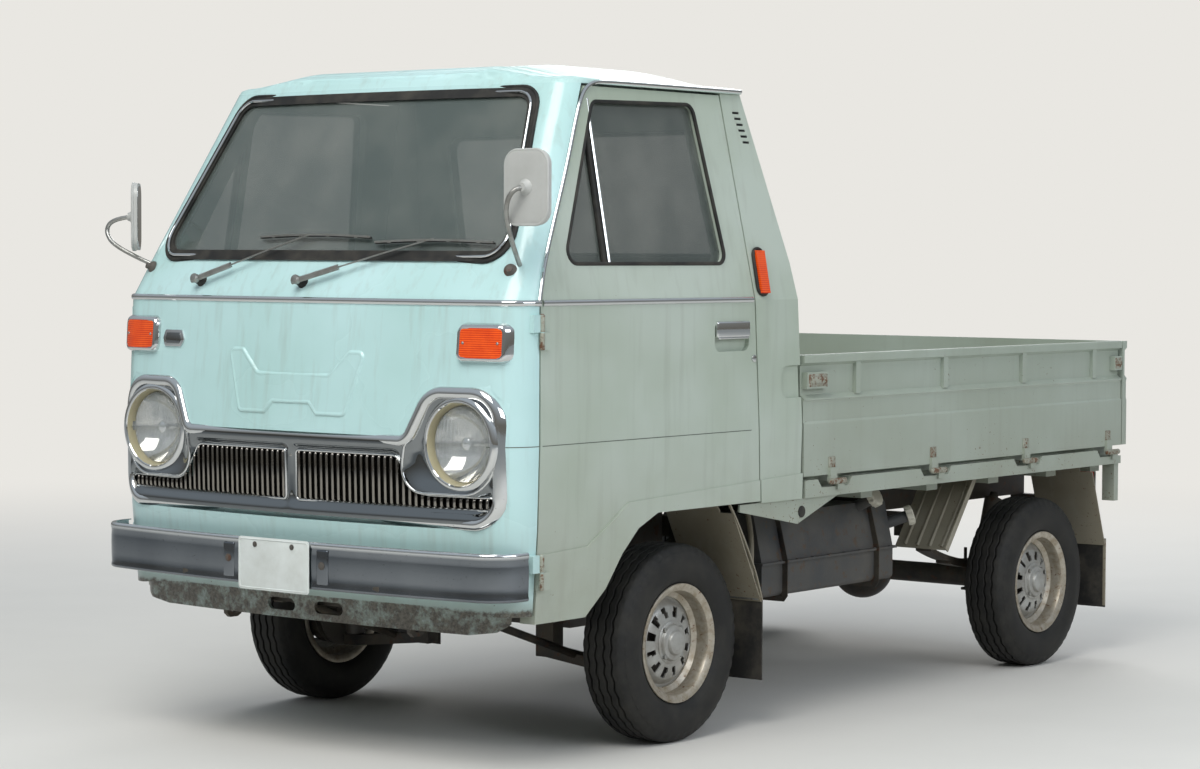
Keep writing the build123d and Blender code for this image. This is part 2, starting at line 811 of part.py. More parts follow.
save(gate_left.part, "gate_left")
with BuildPart() as gate_right:
    mirror(gate_left.part, about=Plane.XZ)
save(gate_right.part, "gate_right")

# Tailgate across the full width, behind the side gates
tailgate_hinge_y = [-480.0, -160.0, 160.0, 480.0]
tailgate_hinge_x = tailgate_x - tailgate_hinge_r - 0.6
tailgate_section = [(body_half - y + tailgate_x, z) for y, z in gate_section[1:-1]]
tailgate_section += [(tailgate_x + tailgate_thick, gate_top_z), (tailgate_x + tailgate_thick, gate_low_z)]
with BuildPart() as tailgate:
    side_prism(tailgate_section, (-body_half, body_half))
    for y in tailgate_hinge_y:
        rod((tailgate_hinge_x, y + seat_gap, gate_hinge_z), (tailgate_hinge_x, y + 35, gate_hinge_z), gate_hinge_r)
        block((tailgate_hinge_x, tailgate_x + 3), (y + 2, y + 33), (gate_hinge_z, gate_low_z + 18))
save(tailgate.part, "tailgate")

# Bed: deck, stepped side sills, cross sills, rear corner brackets
deck_half = gate_inner_y - 6.5
board_thick = 24.0
board_rail = 8.0
deck_front_x = bed_front_x - board_thick - board_rail - seat_gap
sill_inner_y = 600.0
notch_z = 590.0
cross_sill_x = [160.0, -170.0, -500.0, -830.0, -1160.0, deck_rear_x + 28]
cross_sill_low_z = rail_low_z + rail_kick + rail_height + seat_gap
cross_sill_half = 575.0
sill_points = [(deck_rear_x, sill_low_z), (bed_front_x, sill_low_z), (bed_front_x, sill_top_z)]
for x in gate_hinge_x:
    sill_points += [(x + 80, sill_top_z), (x + 62, notch_z), (x - 62, notch_z), (x - 80, sill_top_z)]
sill_points = [point for point in sill_points if point[0] >= deck_rear_x]
sill_points += [(deck_rear_x, notch_z)]
skirt_top_z = 566.7
skirt_points = [(505, skirt_top_z), (505, 549), (251, 503), (40, 575), (225, 575), (225, skirt_top_z)]
with BuildPart() as bed_floor:
    block((deck_rear_x, deck_front_x), (-deck_half, deck_half), (deck_z - deck_thick, deck_z))
    for sign in signs.values():
        side_prism(sill_points, sorted((sign * sill_inner_y, sign * body_half)))
        side_prism(skirt_points, sorted((sign * (body_half - 14), sign * (body_half - 8))))
        block(
            (deck_rear_x, deck_rear_x + 26),
            sorted((sign * sill_inner_y, sign * (body_half - 8))),
            (455, sill_low_z + 5),
        )
        for x in gate_hinge_x:
            start = (x - 35, sign * gate_hinge_y, gate_hinge_z)
            rod(start, (x, sign * gate_hinge_y, gate_hinge_z), gate_hinge_r)
            block(
                (x - 33, x - 2),
                sorted((sign * (body_half - 10), sign * gate_hinge_y)),
                (notch_z - 8, gate_hinge_z),
            )
    for x in cross_sill_x:
        block((x - 28, x + 28), (-sill_inner_y - 5, sill_inner_y + 5), (sill_low_z, deck_z - deck_thick + 2))
        block((x - 28, x + 28), (-cross_sill_half, cross_sill_half), (cross_sill_low_z, sill_low_z + 2))
    for y in tailgate_hinge_y:
        rod((tailgate_hinge_x, y - 35, gate_hinge_z), (tailgate_hinge_x, y, gate_hinge_z), gate_hinge_r)
        block((tailgate_hinge_x, deck_rear_x + 10), (y - 33, y - 2), (notch_z, gate_hinge_z))
    block((deck_rear_x, deck_rear_x + 4), (-60, 60), (rear_plate_z + 20, cross_sill_low_z + 10))
save(bed_floor.part, "bed_floor")

# Front board of the bed
with BuildPart() as bed_front_board:
    board_x = (bed_front_x - board_thick, bed_front_x)
    block(board_x, (-deck_half, deck_half), (sill_top_z + seat_gap, gate_top_z - 4))
    block((board_x[0] - board_rail, board_x[1]), (-deck_half, deck_half), (gate_top_z - 30, gate_top_z))
save(bed_front_board.part, "bed_front_board")

# Ladder frame: rails that rise behind the cab, with the cab mounts, and cross members between them
rail_front_x = 1362.0
rail_outline = [
    (rail_front_x, rail_low_z),
    (rail_front_x, rail_low_z + rail_height),
    (360, rail_low_z + rail_height),
    (120, rail_low_z + rail_kick + rail_height),
    (-1440, rail_low_z + rail_kick + rail_height),
    (-1440, rail_low_z + rail_kick),
    (140, rail_low_z + rail_kick),
    (380, rail_low_z),
]
engine_x = (225.3, 614.7)
# Columns: low x, high x, low z, high z
cross_members = [
    (1300, rail_front_x, 350, 420),
    (engine_x[1] + seat_gap, engine_x[1] + 50, 350, 420),
    (engine_x[0] - 50, engine_x[0] - seat_gap, 442, 495),
    (-480, -430, 465, 535),
    (-1440, -1390, 465, 535),
]
cab_mounts = [(1250.0, foot_z), (300.0, floor_z)]

# Towing lugs under the front of the rails
lug_thick = 12.0
lug_hole_r = 13.0
lug_hole = (1330.0, 318.0)
lug_outline = [(1296, rail_low_z + 3), (1306, 300), (1318, 294), (1342, 294), (1354, 304), (1358, rail_low_z + 3)]
with BuildPart() as frame_rails:
    for sign in signs.values():
        side_prism(rail_outline, sorted((sign * (rail_y - rail_width / 2), sign * (rail_y + rail_width / 2))))
        for x, seat_z in cab_mounts:
            block(
                (x - 16, x + 16),
                sorted((sign * (rail_y - 20), sign * (rail_y + 20))),
                (rail_low_z + rail_height - 5, seat_z - seat_gap),
            )
        lug_side = sorted((sign * rail_y - lug_thick / 2, sign * rail_y + lug_thick / 2))
        side_prism(lug_outline, lug_side)
        hole_start = (lug_hole[0], lug_side[0] - 1, lug_hole[1])
        hole_end = (lug_hole[0], lug_side[1] + 1, lug_hole[1])
        rod(hole_start, hole_end, lug_hole_r, Mode.SUBTRACT)
save(frame_rails.part, "frame_rails")
with BuildPart() as frame_crossmembers:
    member_half = rail_y - rail_width / 2 - seat_gap
    for low_x, high_x, low_z, high_z in cross_members:
        block((low_x, high_x), (-member_half, member_half), (low_z, high_z))
save(frame_crossmembers.part, "frame_crossmembers")

with BuildPart() as engine_block:
    block(engine_x, (-190, 190), (235, 560))
save(engine_block.part, "engine_block")

# Front suspension: cross beam, lower and upper arms, kingpins and tension rods
arm_low_z = (150.0, 178.0)
arm_high_z = (342.0, 362.0)
beam_z = (300.0, rail_low_z - seat_gap)
beam_half_x = 20.0
with BuildPart() as front_suspension:
    beam_x = (front_axle_x - beam_half_x, front_axle_x + beam_half_x)
    block((beam_x[0] - 10, beam_x[1] + 10), (-325, 325), beam_z)
    for sign in signs.values():
        lower_arm = [(195, 178), (195, 206), (425, arm_low_z[1])]
        lower_arm += [(478, arm_low_z[1]), (478, arm_low_z[0]), (440, arm_low_z[0])]
        upper_arm = [(326, 316), (326, 344), (425, arm_high_z[1])]
        upper_arm += [(478, arm_high_z[1]), (478, arm_high_z[0]), (425, arm_high_z[0])]
        drop = [(180, 176), (180, beam_z[1]), (236, beam_z[1]), (236, 176)]
        upper_root = [(300, 304), (300, 340), (330, 344), (330, 316)]
        for points in (lower_arm, upper_arm, drop, upper_root):
            front_prism(points if sign > 0 else mirrored(points), beam_x)
        rod(
            (front_axle_x, sign * kingpin_y, arm_low_z[0] + 5),
            (front_axle_x, sign * kingpin_y, arm_high_z[1] - 5),
            kingpin_r - pin_clearance,
        )
        rod((front_axle_x, sign * 300, 185), (1150, sign * 300, 330), 10)
        block((1130, 1170), sorted((sign * 285, sign * 315)), (315, rail_low_z - seat_gap))
save(front_suspension.part, "front_suspension")

# Knuckles: bored upright, spindle, backing plate and steering arm
upright_r = 24.0
upright_z = (arm_low_z[1] + 2, arm_high_z[0] - 2)
spindle_end_y = 596.0
backing_y = (489.0, 493.0)
backing_r = 98.0
with BuildPart() as knuckle_left:
    rod((front_axle_x, kingpin_y, upright_z[0]), (front_axle_x, kingpin_y, upright_z[1]), upright_r)
    rod((front_axle_x, kingpin_y, axle_z), (front_axle_x, backing_y[1], axle_z), 34)
    rod((front_axle_x, backing_y[0], axle_z), (front_axle_x, backing_y[1], axle_z), backing_r)
    rod((front_axle_x, kingpin_y, axle_z), (front_axle_x, spindle_end_y, axle_z), spindle_r - pin_clearance)
    block((front_axle_x - 125, front_axle_x), (kingpin_y - 24, kingpin_y - 8), (202, 216))
    rod((front_axle_x, kingpin_y, 0), (front_axle_x, kingpin_y, 500), kingpin_r, Mode.SUBTRACT)
save(knuckle_left.part, "knuckle_left")
with BuildPart() as knuckle_right:
    mirror(knuckle_left.part, about=Plane.XZ)
save(knuckle_right.part, "knuckle_right")

# Rear axle: tube, differential, backing plates, spindles and propeller shaft
with BuildPart() as rear_axle:
    rod((rear_axle_x, -backing_y[0], axle_z), (rear_axle_x, backing_y[0], axle_z), 30)
    rod((rear_axle_x, -spindle_end_y, axle_z), (rear_axle_x, spindle_end_y, axle_z), spindle_r - pin_clearance)
    with Locations((rear_axle_x, 0, axle_z)):
        Sphere(92)
    for sign in signs.values():
        rod((rear_axle_x, sign * backing_y[0], axle_z), (rear_axle_x, sign * backing_y[1], axle_z), backing_r)
    flange_x = engine_x[0] - seat_gap
    bent_rod([(rear_axle_x + 60, 0, axle_z), (flange_x - 30, 0, axle_z + 87), (flange_x, 0, axle_z + 87)], 21)
save(rear_axle.part, "rear_axle")

# Leaf springs on the axle tube, hung from the rails
# Columns: half length, rise at the ends
leaves = [(410.0, 112.0), (300.0, 60.0), (190.0, 24.0)]
leaf_thick = 8.0
leaf_half_y = 25.0
leaf_seat_z = axle_z + 30 + seat_gap
with BuildPart() as leaf_springs:
    for sign in signs.values():
        leaf_side = sorted((sign * (spring_y - leaf_half_y), sign * (spring_y + leaf_half_y)))
        for index, (half, rise) in enumerate(reversed(leaves)):
            base_z = leaf_seat_z + index * leaf_thick
            with BuildSketch(Plane.XZ.offset(-leaf_side[1])) as leaf:
                with BuildLine():
                    low_mid = (rear_axle_x, base_z)
                    high_mid = (rear_axle_x, base_z + leaf_thick)
                    ends = [(rear_axle_x - half, base_z + rise), (rear_axle_x + half, base_z + rise)]
                    tops = [(x, z + leaf_thick) for x, z in ends]
                    ThreePointArc(ends[0], low_mid, ends[1])
                    Line(ends[1], tops[1])
                    ThreePointArc(tops[1], high_mid, tops[0])
                    Line(tops[0], ends[0])
                make_face()
            extrude(leaf.sketch, amount=2 * leaf_half_y)
        for end in (-1, 1):
            hanger_x = rear_axle_x + end * (leaves[0][0] - 8)
            eye_z = leaf_seat_z + 2 * leaf_thick + leaves[0][1]
            rail_bottom = rail_low_z + rail_kick - seat_gap
            block((hanger_x - 15, hanger_x + 15), leaf_side, (eye_z - 8, rail_bottom))
            block(
                (hanger_x - 15, hanger_x + 15),
                sorted((sign * (rail_y - 15), sign * spring_y)),
                (rail_bottom - 18, rail_bottom),
            )
save(leaf_springs.part, "leaf_springs")

# Wheels: many-sided forms along the axle, so that they keep few facets
wheel_sides = 48
tyre_half = tyre_width / 2
bead_y = 50.0
# Columns: distance from the wheel's middle towards its outside, radius
tread_rows = [
    (-tyre_half, 186),
    (-68, 208),
    (-56, 233),
    (-42, tyre_r),
    (42, tyre_r),
    (56, 233),
    (68, 208),
    (tyre_half, 186),
]
wall_rows = [(bead_y, flange_r + 1), (tyre_half + 2, 181)]
barrel_rows = [(-bead_y - 1, rim_r), (bead_y + 1, rim_r)]
bore_rows = [(-tyre_half - 1, rim_r + seat_gap), (tyre_half + 1, rim_r + seat_gap)]
flange_rows = [(bead_y + 1, flange_r), (bead_y + 7, flange_r - 2)]
well_inner_rows = [(-60, 120), (8, 112)]
well_outer_rows = [(8, 104), (30, 119), (60, 125)]
disc_rows = [(6, 112), (8, 112), (30, 82), (34, 56), (40, 52), (46, 30)]
disc_back_rows = [(-2, 108), (22, 78), (27, 50), (33, 46)]
drum_rows = [(-43, 92), (-5, 92)]
slot_ring_r = 74.0
slot_count = 12
slot_size = (30.0, 12.0)
# Columns: name, axle place along the truck, side
wheels = [
    ("front_left", front_axle_x, 1),
    ("front_right", front_axle_x, -1),
    ("rear_left", rear_axle_x, 1),
    ("rear_right", rear_axle_x, -1),
]


def many_sided(rows, side=1, mode=Mode.ADD):
    """Loft of many-sided sections along an axle."""
    sections = []
    for shift, radius in rows:
        with BuildSketch(Plane(origin=(0, side * shift, 0), x_dir=(1, 0, 0), z_dir=(0, side, 0))) as ring:
            RegularPolygon(radius, wheel_sides)
        sections.append(ring.sketch.faces()[0])
    loft(sections, ruled=True, mode=mode)


# One rim and one tyre, outside towards +Y, then set at each wheel's place
with BuildPart() as rim_form:
    many_sided(barrel_rows)
    many_sided(flange_rows)
    many_sided(flange_rows, -1)
    many_sided(well_inner_rows, mode=Mode.SUBTRACT)
    many_sided(well_outer_rows, mode=Mode.SUBTRACT)
    many_sided(disc_rows)
    many_sided(disc_back_rows, mode=Mode.SUBTRACT)
    with BuildSketch(Plane.XZ.offset(-60)) as slots:
        with PolarLocations(slot_ring_r, slot_count):
            Rectangle(*slot_size)
    extrude(slots.sketch, amount=60, mode=Mode.SUBTRACT)
    many_sided(drum_rows)
    rod((0, -6, 0), (0, 42, 0), 40)
    rod((0, -44, 0), (0, spindle_end_y - wheel_y + 0.5, 0), spindle_r, Mode.SUBTRACT)
with BuildPart() as tyre_form:
    many_sided(tread_rows)
    many_sided(wall_rows, mode=Mode.SUBTRACT)
    many_sided(wall_rows, -1, mode=Mode.SUBTRACT)
    many_sided(bore_rows, mode=Mode.SUBTRACT)
for name, axle_x, out in wheels:
    place = Location((axle_x, out * wheel_y, axle_z), (0, 0, 90 - 90 * out))
    with BuildPart() as rim:
        with Locations(place):
            add(rim_form.part)
    save(rim.part, "rim_" + name)
    with BuildPart() as tyre:
        with Locations(place):
            add(tyre_form.part)
    save(tyre.part, "tyre_" + name)

# Mud guards: leaning plates before and behind the wheels, with rubber flaps
guard_inner_y = 430.0
guard_outer_y = 640.0
deck_low_z = deck_z - deck_thick
skirt_low_z = 548.0
front_guard = [(408, 318), (411.5, 318), (539, 556), (565, floor_z - seat_gap), (561, floor_z - seat_gap), (535, 558)]
fore_guard = [(-716, deck_low_z - seat_gap), (-720, deck_low_z - seat_gap), (-545, 371), (-541, 371)]
aft_guard = [(-1270, deck_low_z - seat_gap), (-1274, deck_low_z - seat_gap), (-1376, 325), (-1372, 325)]
with BuildPart() as mudguards:
    for sign in signs.values():
        for points in (front_guard, aft_guard):
            side_prism(points, sorted((sign * guard_inner_y, sign * guard_outer_y)))
        side_prism(fore_guard, sorted((sign * guard_inner_y, sign * (sill_inner_y - 1))))
        outside = sorted((sign * (sill_inner_y - 1), sign * (guard_outer_y + 1)))
        block((-1500, 600), outside, (skirt_low_z, 700), Mode.SUBTRACT)
save(mudguards.part, "mudguards")

flap_thick = 4.0
flap_front_x = front_guard[0][0] - seat_gap
flap_rear_x = aft_guard[2][0] - seat_gap
with BuildPart() as mudflaps:
    for sign in signs.values():
        across = sorted((sign * guard_inner_y, sign * guard_outer_y))
        block((flap_front_x - flap_thick, flap_front_x), across, (120, 340))
        block((flap_rear_x - flap_thick, flap_rear_x), across, (140, 345))
save(mudflaps.part, "mudflaps")

# Fuel tank with a seam flange and two filler necks, and its caps
tank_x = (-423.0, 206.0)
tank_y = (rail_y + rail_width / 2 + seat_gap, 498.0)
# Columns: foot of the neck, its tip
filler_necks = [((-290, 440, 490), (-294, 512, 526)), ((-405, 430, 430), (-470, 512, 466))]
with BuildPart() as fuel_tank:
    tank_section = [(tank_y[0], 296), (tank_y[1], 296), (tank_y[1], 386), (470, 512), (tank_y[0], 512)]
    front_prism(tank_section, tank_x)
    fillet(fuel_tank.edges().filter_by(Axis.X).sort_by(Axis.Y)[-2:], 16)
    block((tank_x[0] - 9, tank_x[1] + 9), (tank_y[0], tank_y[1] + 9), (382, 388))
    for foot, tip in filler_necks:
        rod(foot, tip, 16)
save(fuel_tank.part, "fuel_tank")
with BuildPart() as filler_caps:
    for foot, tip in filler_necks:
        direction = (Vector(*tip) - Vector(*foot)).normalized()
        rod(tuple(Vector(*tip) + direction * seat_gap), tuple(Vector(*tip) + direction * 20), 27)
save(filler_caps.part, "filler_caps")

# Exhaust: down pipe, silencer and tail pipe on a hanger
with BuildPart() as exhaust:
    bent_rod([(engine_x[0] - seat_gap, -150, 290), (180, -150, 290), (-40, -395, 300), (-140, -395, 300)], 19)
    rod((-130, -395, 300), (-500, -395, 300), 56)
    bent_rod([(-490, -395, 300), (-530, -395, 300), (-580, -440, 285)], 16)
    block((-320, -296), (-405, -300), (450, rail_low_z + rail_kick - seat_gap))
    block((-320, -296), (-405, -397), (340, 455))
save(exhaust.part, "exhaust")

# Tail lamps under the last cross sill
with BuildPart() as tail_lamps:
    for sign in signs.values():
        block(
            (deck_rear_x + 2, deck_rear_x + 50),
            sorted((sign * 410, sign * 560)),
            (472, cross_sill_low_z - seat_gap),
        )
save(tail_lamps.part, "tail_lamps")

# Wipers: pivots, arms and blades lying on the glass
# Columns: pivot y, pivot z, arm end y, arm end z, blade low y, blade high y, blade z
wiper_rows = [
    (-362.0, 1117.0, -30.0, 1232.0, -200.0, 160.0, 1226.0),
    (-9.0, 1117.0, 350.0, 1222.0, 180.0, 520.0, 1214.0),
]


def on_nose(y, z, out):
    return (nose_arc_x(y, z) + out, y, z)


with BuildPart() as wipers:
    for pivot_y, pivot_z, end_y, end_z, low_y, high_y, blade_z in wiper_rows:
        rod(on_nose(pivot_y, pivot_z, -12), on_nose(pivot_y, pivot_z + 8, 26), 9)
        rod(on_nose(pivot_y, pivot_z + 6, 20), on_nose(end_y, end_z, 12), 4)
        rod(on_nose(low_y, blade_z, 6), on_nose((low_y + high_y) / 2, blade_z + 4, 8), 5)
        rod(on_nose((low_y + high_y) / 2, blade_z + 4, 8), on_nose(high_y, blade_z, 6), 5)
    add(cab_form(-seat_gap, -seat_gap, 0), mode=Mode.SUBTRACT)
save(wipers.part, "wipers")

# Mirrors on bent stalks
# Columns: points of the stalk up to the pad's face, turn of the pad in degrees
mirror_rows = [
    ([(1298, 592, 1150), (1366, 620, 1205), (1425, 645, 1290), (1425, 672, 1336), (1396, 682, 1336)], 0),
    ([(1298, -592, 1150), (1350, -690, 1195), (1345, -738, 1240), (1340, -712, 1272), (1318, -664, 1276)], -48),
]
pad_size = (124.0, 168.0)
pad_thick = 16.0
with BuildPart() as mirrors:
    for points, turn in mirror_rows:
        foot = Vector(*points[0])
        rod(points[0], tuple(foot + (Vector(*points[1]) - foot).normalized() * 40), 15)
        bent_rod(points, 6)
        facing = Vector(math.cos(math.radians(turn)), math.sin(math.radians(turn)), 0)
        across = Vector(-facing.Y, facing.X, 0)
        back = Vector(*points[-1]) - facing * pad_thick
        with BuildSketch(Plane(origin=tuple(back), x_dir=tuple(across), z_dir=tuple(facing))) as pad:
            RectangleRounded(pad_size[0], pad_size[1], 36)
        extrude(pad.sketch, amount=pad_thick)
    add(cab_form(-seat_gap, -seat_gap, 0), mode=Mode.SUBTRACT)
save(mirrors.part, "mirrors")
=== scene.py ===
import math

import bmesh
import bpy
from bpy.props import FloatProperty, FloatVectorProperty, IntProperty, PointerProperty
from mathutils import Matrix, Vector


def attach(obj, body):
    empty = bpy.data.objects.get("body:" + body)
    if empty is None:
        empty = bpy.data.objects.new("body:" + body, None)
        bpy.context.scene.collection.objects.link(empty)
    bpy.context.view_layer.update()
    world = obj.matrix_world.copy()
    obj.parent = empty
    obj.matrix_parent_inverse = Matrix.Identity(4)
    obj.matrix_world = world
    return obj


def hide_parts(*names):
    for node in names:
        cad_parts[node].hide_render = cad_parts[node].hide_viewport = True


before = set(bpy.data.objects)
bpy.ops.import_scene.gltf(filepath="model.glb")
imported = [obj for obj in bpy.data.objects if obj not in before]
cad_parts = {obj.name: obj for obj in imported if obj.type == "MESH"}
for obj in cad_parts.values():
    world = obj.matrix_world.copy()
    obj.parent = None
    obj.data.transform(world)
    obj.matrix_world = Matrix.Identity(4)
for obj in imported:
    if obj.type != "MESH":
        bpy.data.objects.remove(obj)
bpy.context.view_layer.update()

bl_info = {
    "name": "Kei truck dressing",
    "version": (1, 0, 0),
    "blender": (4, 5, 0),
    "location": "3D View > Sidebar > Kei truck",
    "description": "Finishes and fine pieces for the cab-over kei truck",
    "category": "Object",
}

MM = 0.001
# How near points are merged, in metres
WELD = 0.00001
TURN = 2 * math.pi
SIDES = {"left": 1, "right": -1}


# Colours and nodes

def srgb(colour):
    """Linear colour of an sRGB hex value; a linear colour passes unchanged."""
    if not isinstance(colour, str):
        return tuple(colour)
    levels = [int(colour[i:i + 2], 16) / 255 for i in (1, 3, 5)]
    return tuple(v / 12.92 if v <= 0.04045 else ((v + 0.055) / 1.055) ** 2.4 for v in levels) + (1.0,)


def add_node(tree, kind, inputs=None, output=0, stops=(), **settings):
    """Add a node with its settings, its values and the sockets that feed it; gives one of its outputs."""
    node = tree.nodes.new("ShaderNode" + kind)
    for key, value in settings.items():
        setattr(node, key, value)
    for key, value in (inputs or {}).items():
        if isinstance(value, bpy.types.NodeSocket):
            tree.links.new(value, node.inputs[key])
        else:
            node.inputs[key].default_value = srgb(value) if isinstance(value, str) else value
    for index, (position, colour) in enumerate(stops):
        node.color_ramp.elements[index].position = position
        node.color_ramp.elements[index].color = srgb(colour)
    return node if output is None else node.outputs[output]


def new_finish(name, **values):
    """Material with a Principled shader whose plain values are given, and its tree."""
    material = bpy.data.materials.new(name)
    material.use_nodes = True
    for key, value in values.items():
        material.node_tree.nodes["Principled BSDF"].inputs[key.replace("_", " ")].default_value = value
    return material, material.node_tree


def dress(tree, colour=None, roughness=None, height=None, depth_mm=1.0, strength=1.0):
    """Feed the shader its colour, its roughness and the bump of a height."""
    feeds = {"Base Color": colour, "Roughness": roughness}
    if height is not None:
        feeds["Normal"] = add_node(tree, "Bump", {"Height": height, "Distance": depth_mm * MM, "Strength": strength})
    for key, socket in feeds.items():
        if socket is not None:
            tree.links.new(socket, tree.nodes["Principled BSDF"].inputs[key])


def between(low, high):
    """Stops of a ramp from black to white."""
    return (low, "#000000"), (high, "#FFFFFF")


def patches(tree, size_mm, detail, rough, seed, levels=None, scale=None):
    """Noise with patches of about a size in millimetres, cut to a mask between two levels."""
    place = add_node(tree, "TexCoord", output="Object")
    if scale:
        place = add_node(tree, "Mapping", {"Vector": place, "Scale": scale})
    fac = add_node(
        tree, "TexNoise", {"Vector": place, "Scale": 1000 / size_mm, "Detail": detail, "Roughness": rough, "W": seed},
        noise_dimensions="4D")
    return add_node(tree, "ValToRGB", {"Fac": fac}, stops=between(*levels)) if levels else fac


def along(tree, axis):
    """Place along one of the object's axes, in metres."""
    return add_node(tree, "SeparateXYZ", {0: add_node(tree, "TexCoord", output="Object")}, axis)


def below(tree, low, high, axis="Z"):
    """1 below a place on an axis, falling to 0 above another."""
    return add_node(
        tree, "MapRange", {"Value": along(tree, axis), "From Min": low, "From Max": high, "To Min": 1.0, "To Max": 0.0})


def ribs(tree, axis, pitch_mm):
    """Wave of moulded ribs across an axis."""
    return add_node(tree, "Math", {0: weighted(tree, (along(tree, axis), TURN / (pitch_mm * MM)))}, operation="SINE")


def weighted(tree, *terms, base=0.0, clamp=False):
    """Sum of a base and of terms, each a socket and its factor."""
    for socket, factor in terms:
        base = add_node(
            tree, "Math", {0: socket, 1: factor, 2: base}, operation="MULTIPLY_ADD", use_clamp=clamp)
    return base


def layered(tree, colour, *layers):
    """Colour under layers, each a mask and a colour laid over the ones before it."""
    for mask, over in layers:
        colour = add_node(tree, "Mix", {0: mask, 6: colour, 7: over}, 2, data_type="RGBA")
    return colour


# Finishes

def worn_finish(name, base, rough, layers, grain=None, **values):
    """Base colour under layers of (pattern, share, colour, gain in roughness).

    The grain is the bump's pattern, depth and strength; without a pattern it is the coloured layers' own.
    """
    material, tree = new_finish(name, **values)
    colour, gains, relief = base, [], []
    for pattern, share, over, gain in layers:
        mask = patches(tree, *pattern)
        gains.append((mask, gain))
        if over:
            colour = layered(tree, colour, (weighted(tree, (mask, share)), over))
            relief.append((mask, 1.0))
    pattern, depth_mm, strength = grain or (None, None, None)
    height = None
    if grain:
        height = patches(tree, *pattern) if pattern else weighted(tree, *relief)
    dress(tree, colour, weighted(tree, *gains, base=rough), height, depth_mm, strength)
    return material


def black_rubber(name, tone="#1B1B1A", dust="#6B665C", share=0.35, size=60):
    """Moulded or extruded rubber: near black, matt, greyed by dust and age."""
    film = ((size, 5, 0.65, 1.0, (0.42, 0.75)), share, dust, 0.2)
    return worn_finish(name, tone, 0.62, [film], ((3, 3, 0.6, 3.0), 0.25, 0.5), Specular_IOR_Level=0.4)


def chassis_paint(name, base="#1E1E1E", dust="#756B5B", rust="#4B2C1B"):
    """Brushed-on paint: satin, with caked road dust and rust coming through."""
    film = ((120, 6, 0.65, 2.0, (0.35, 0.72)), 0.55, dust, 0.3)
    spots = ((22, 6, 0.7, 5.0, (0.56, 0.63)), 0.8, rust, 0.0)
    return worn_finish(name, base, 0.45, [film, spots], ((5, 4, 0.6, 4.0), 0.5, 0.5))


def aged_steel(name, base, dark, rust_share, rough, metallic=0.9, size=40):
    """Bare or zinc-coated steel: grey metal with darker blotches and some brown rust."""
    blotches = ((size, 5, 0.6, 1.0, (0.35, 0.7)), 1.0, dark, 0.2)
    spots = ((14, 5, 0.7, 6.0, (0.74 - rust_share, 0.78 - rust_share * 0.8)), 0.85, "#6A4024", 0.3)
    return worn_finish(name, base, rough, [blotches, spots], (None, 0.25, 0.35), Metallic=metallic)


def worn_chrome(name, dull=0.08, tint="#D6D8D8", pit="#5A5148"):
    """Nickel-chrome plate on pressed steel: mirror bright, hazed by wipe marks and pin-prick pitting."""
    haze = ((70, 4, 0.6, 1.5), 0.0, None, dull * 1.6)
    pits = ((4, 3, 0.6, 2.5, (0.69, 0.73)), 1.0, pit, 0.4)
    return worn_finish(name, tint, 0.0, [haze, pits], (None, 0.15, 0.3), Metallic=1.0)


def sheet_glass(name, tint, alpha):
    """Curved safety glass: a half-opaque smoky tint, painted shade of the dark cab behind it; clear reflections, a
    little dust.
    """
    film = ((220, 4, 0.6, 1.0, (0.4, 0.8)), 0.4, "#A9ABA3", 0.06)
    # Painted shade: the dark tint at about half opacity stands for the shaded cab seen through the glass
    material = worn_finish(name, tint, 0.02, [film], Alpha=alpha, IOR=1.5, Specular_IOR_Level=0.9)
    material.surface_render_method = "BLENDED"
    return material


def grained_plastic(name, tone="#1A1B1B", light="#2B2B2A", rough=0.5):
    """Injection-moulded plastic: matt with a fine sand-blast grain, about 1.6 mm."""
    film = ((90, 4, 0.6, 1.0), 1.0, light, 0.15)
    return worn_finish(name, tone, rough - 0.08, [film], ((1.6, 2, 0.5, 2.0), 0.12, 0.5), IOR=1.5)


def plate_enamel(name):
    """Stove-enamelled aluminium: flat white, greyed by road film, with a soft gloss."""
    film = ((60, 5, 0.65, 1.0, (0.4, 0.8)), 0.6, "#B9BDB6", 0.2)
    return worn_finish(name, "#DCE2E0", 0.3, [film], Coat_Weight=0.2, Coat_Roughness=0.2)


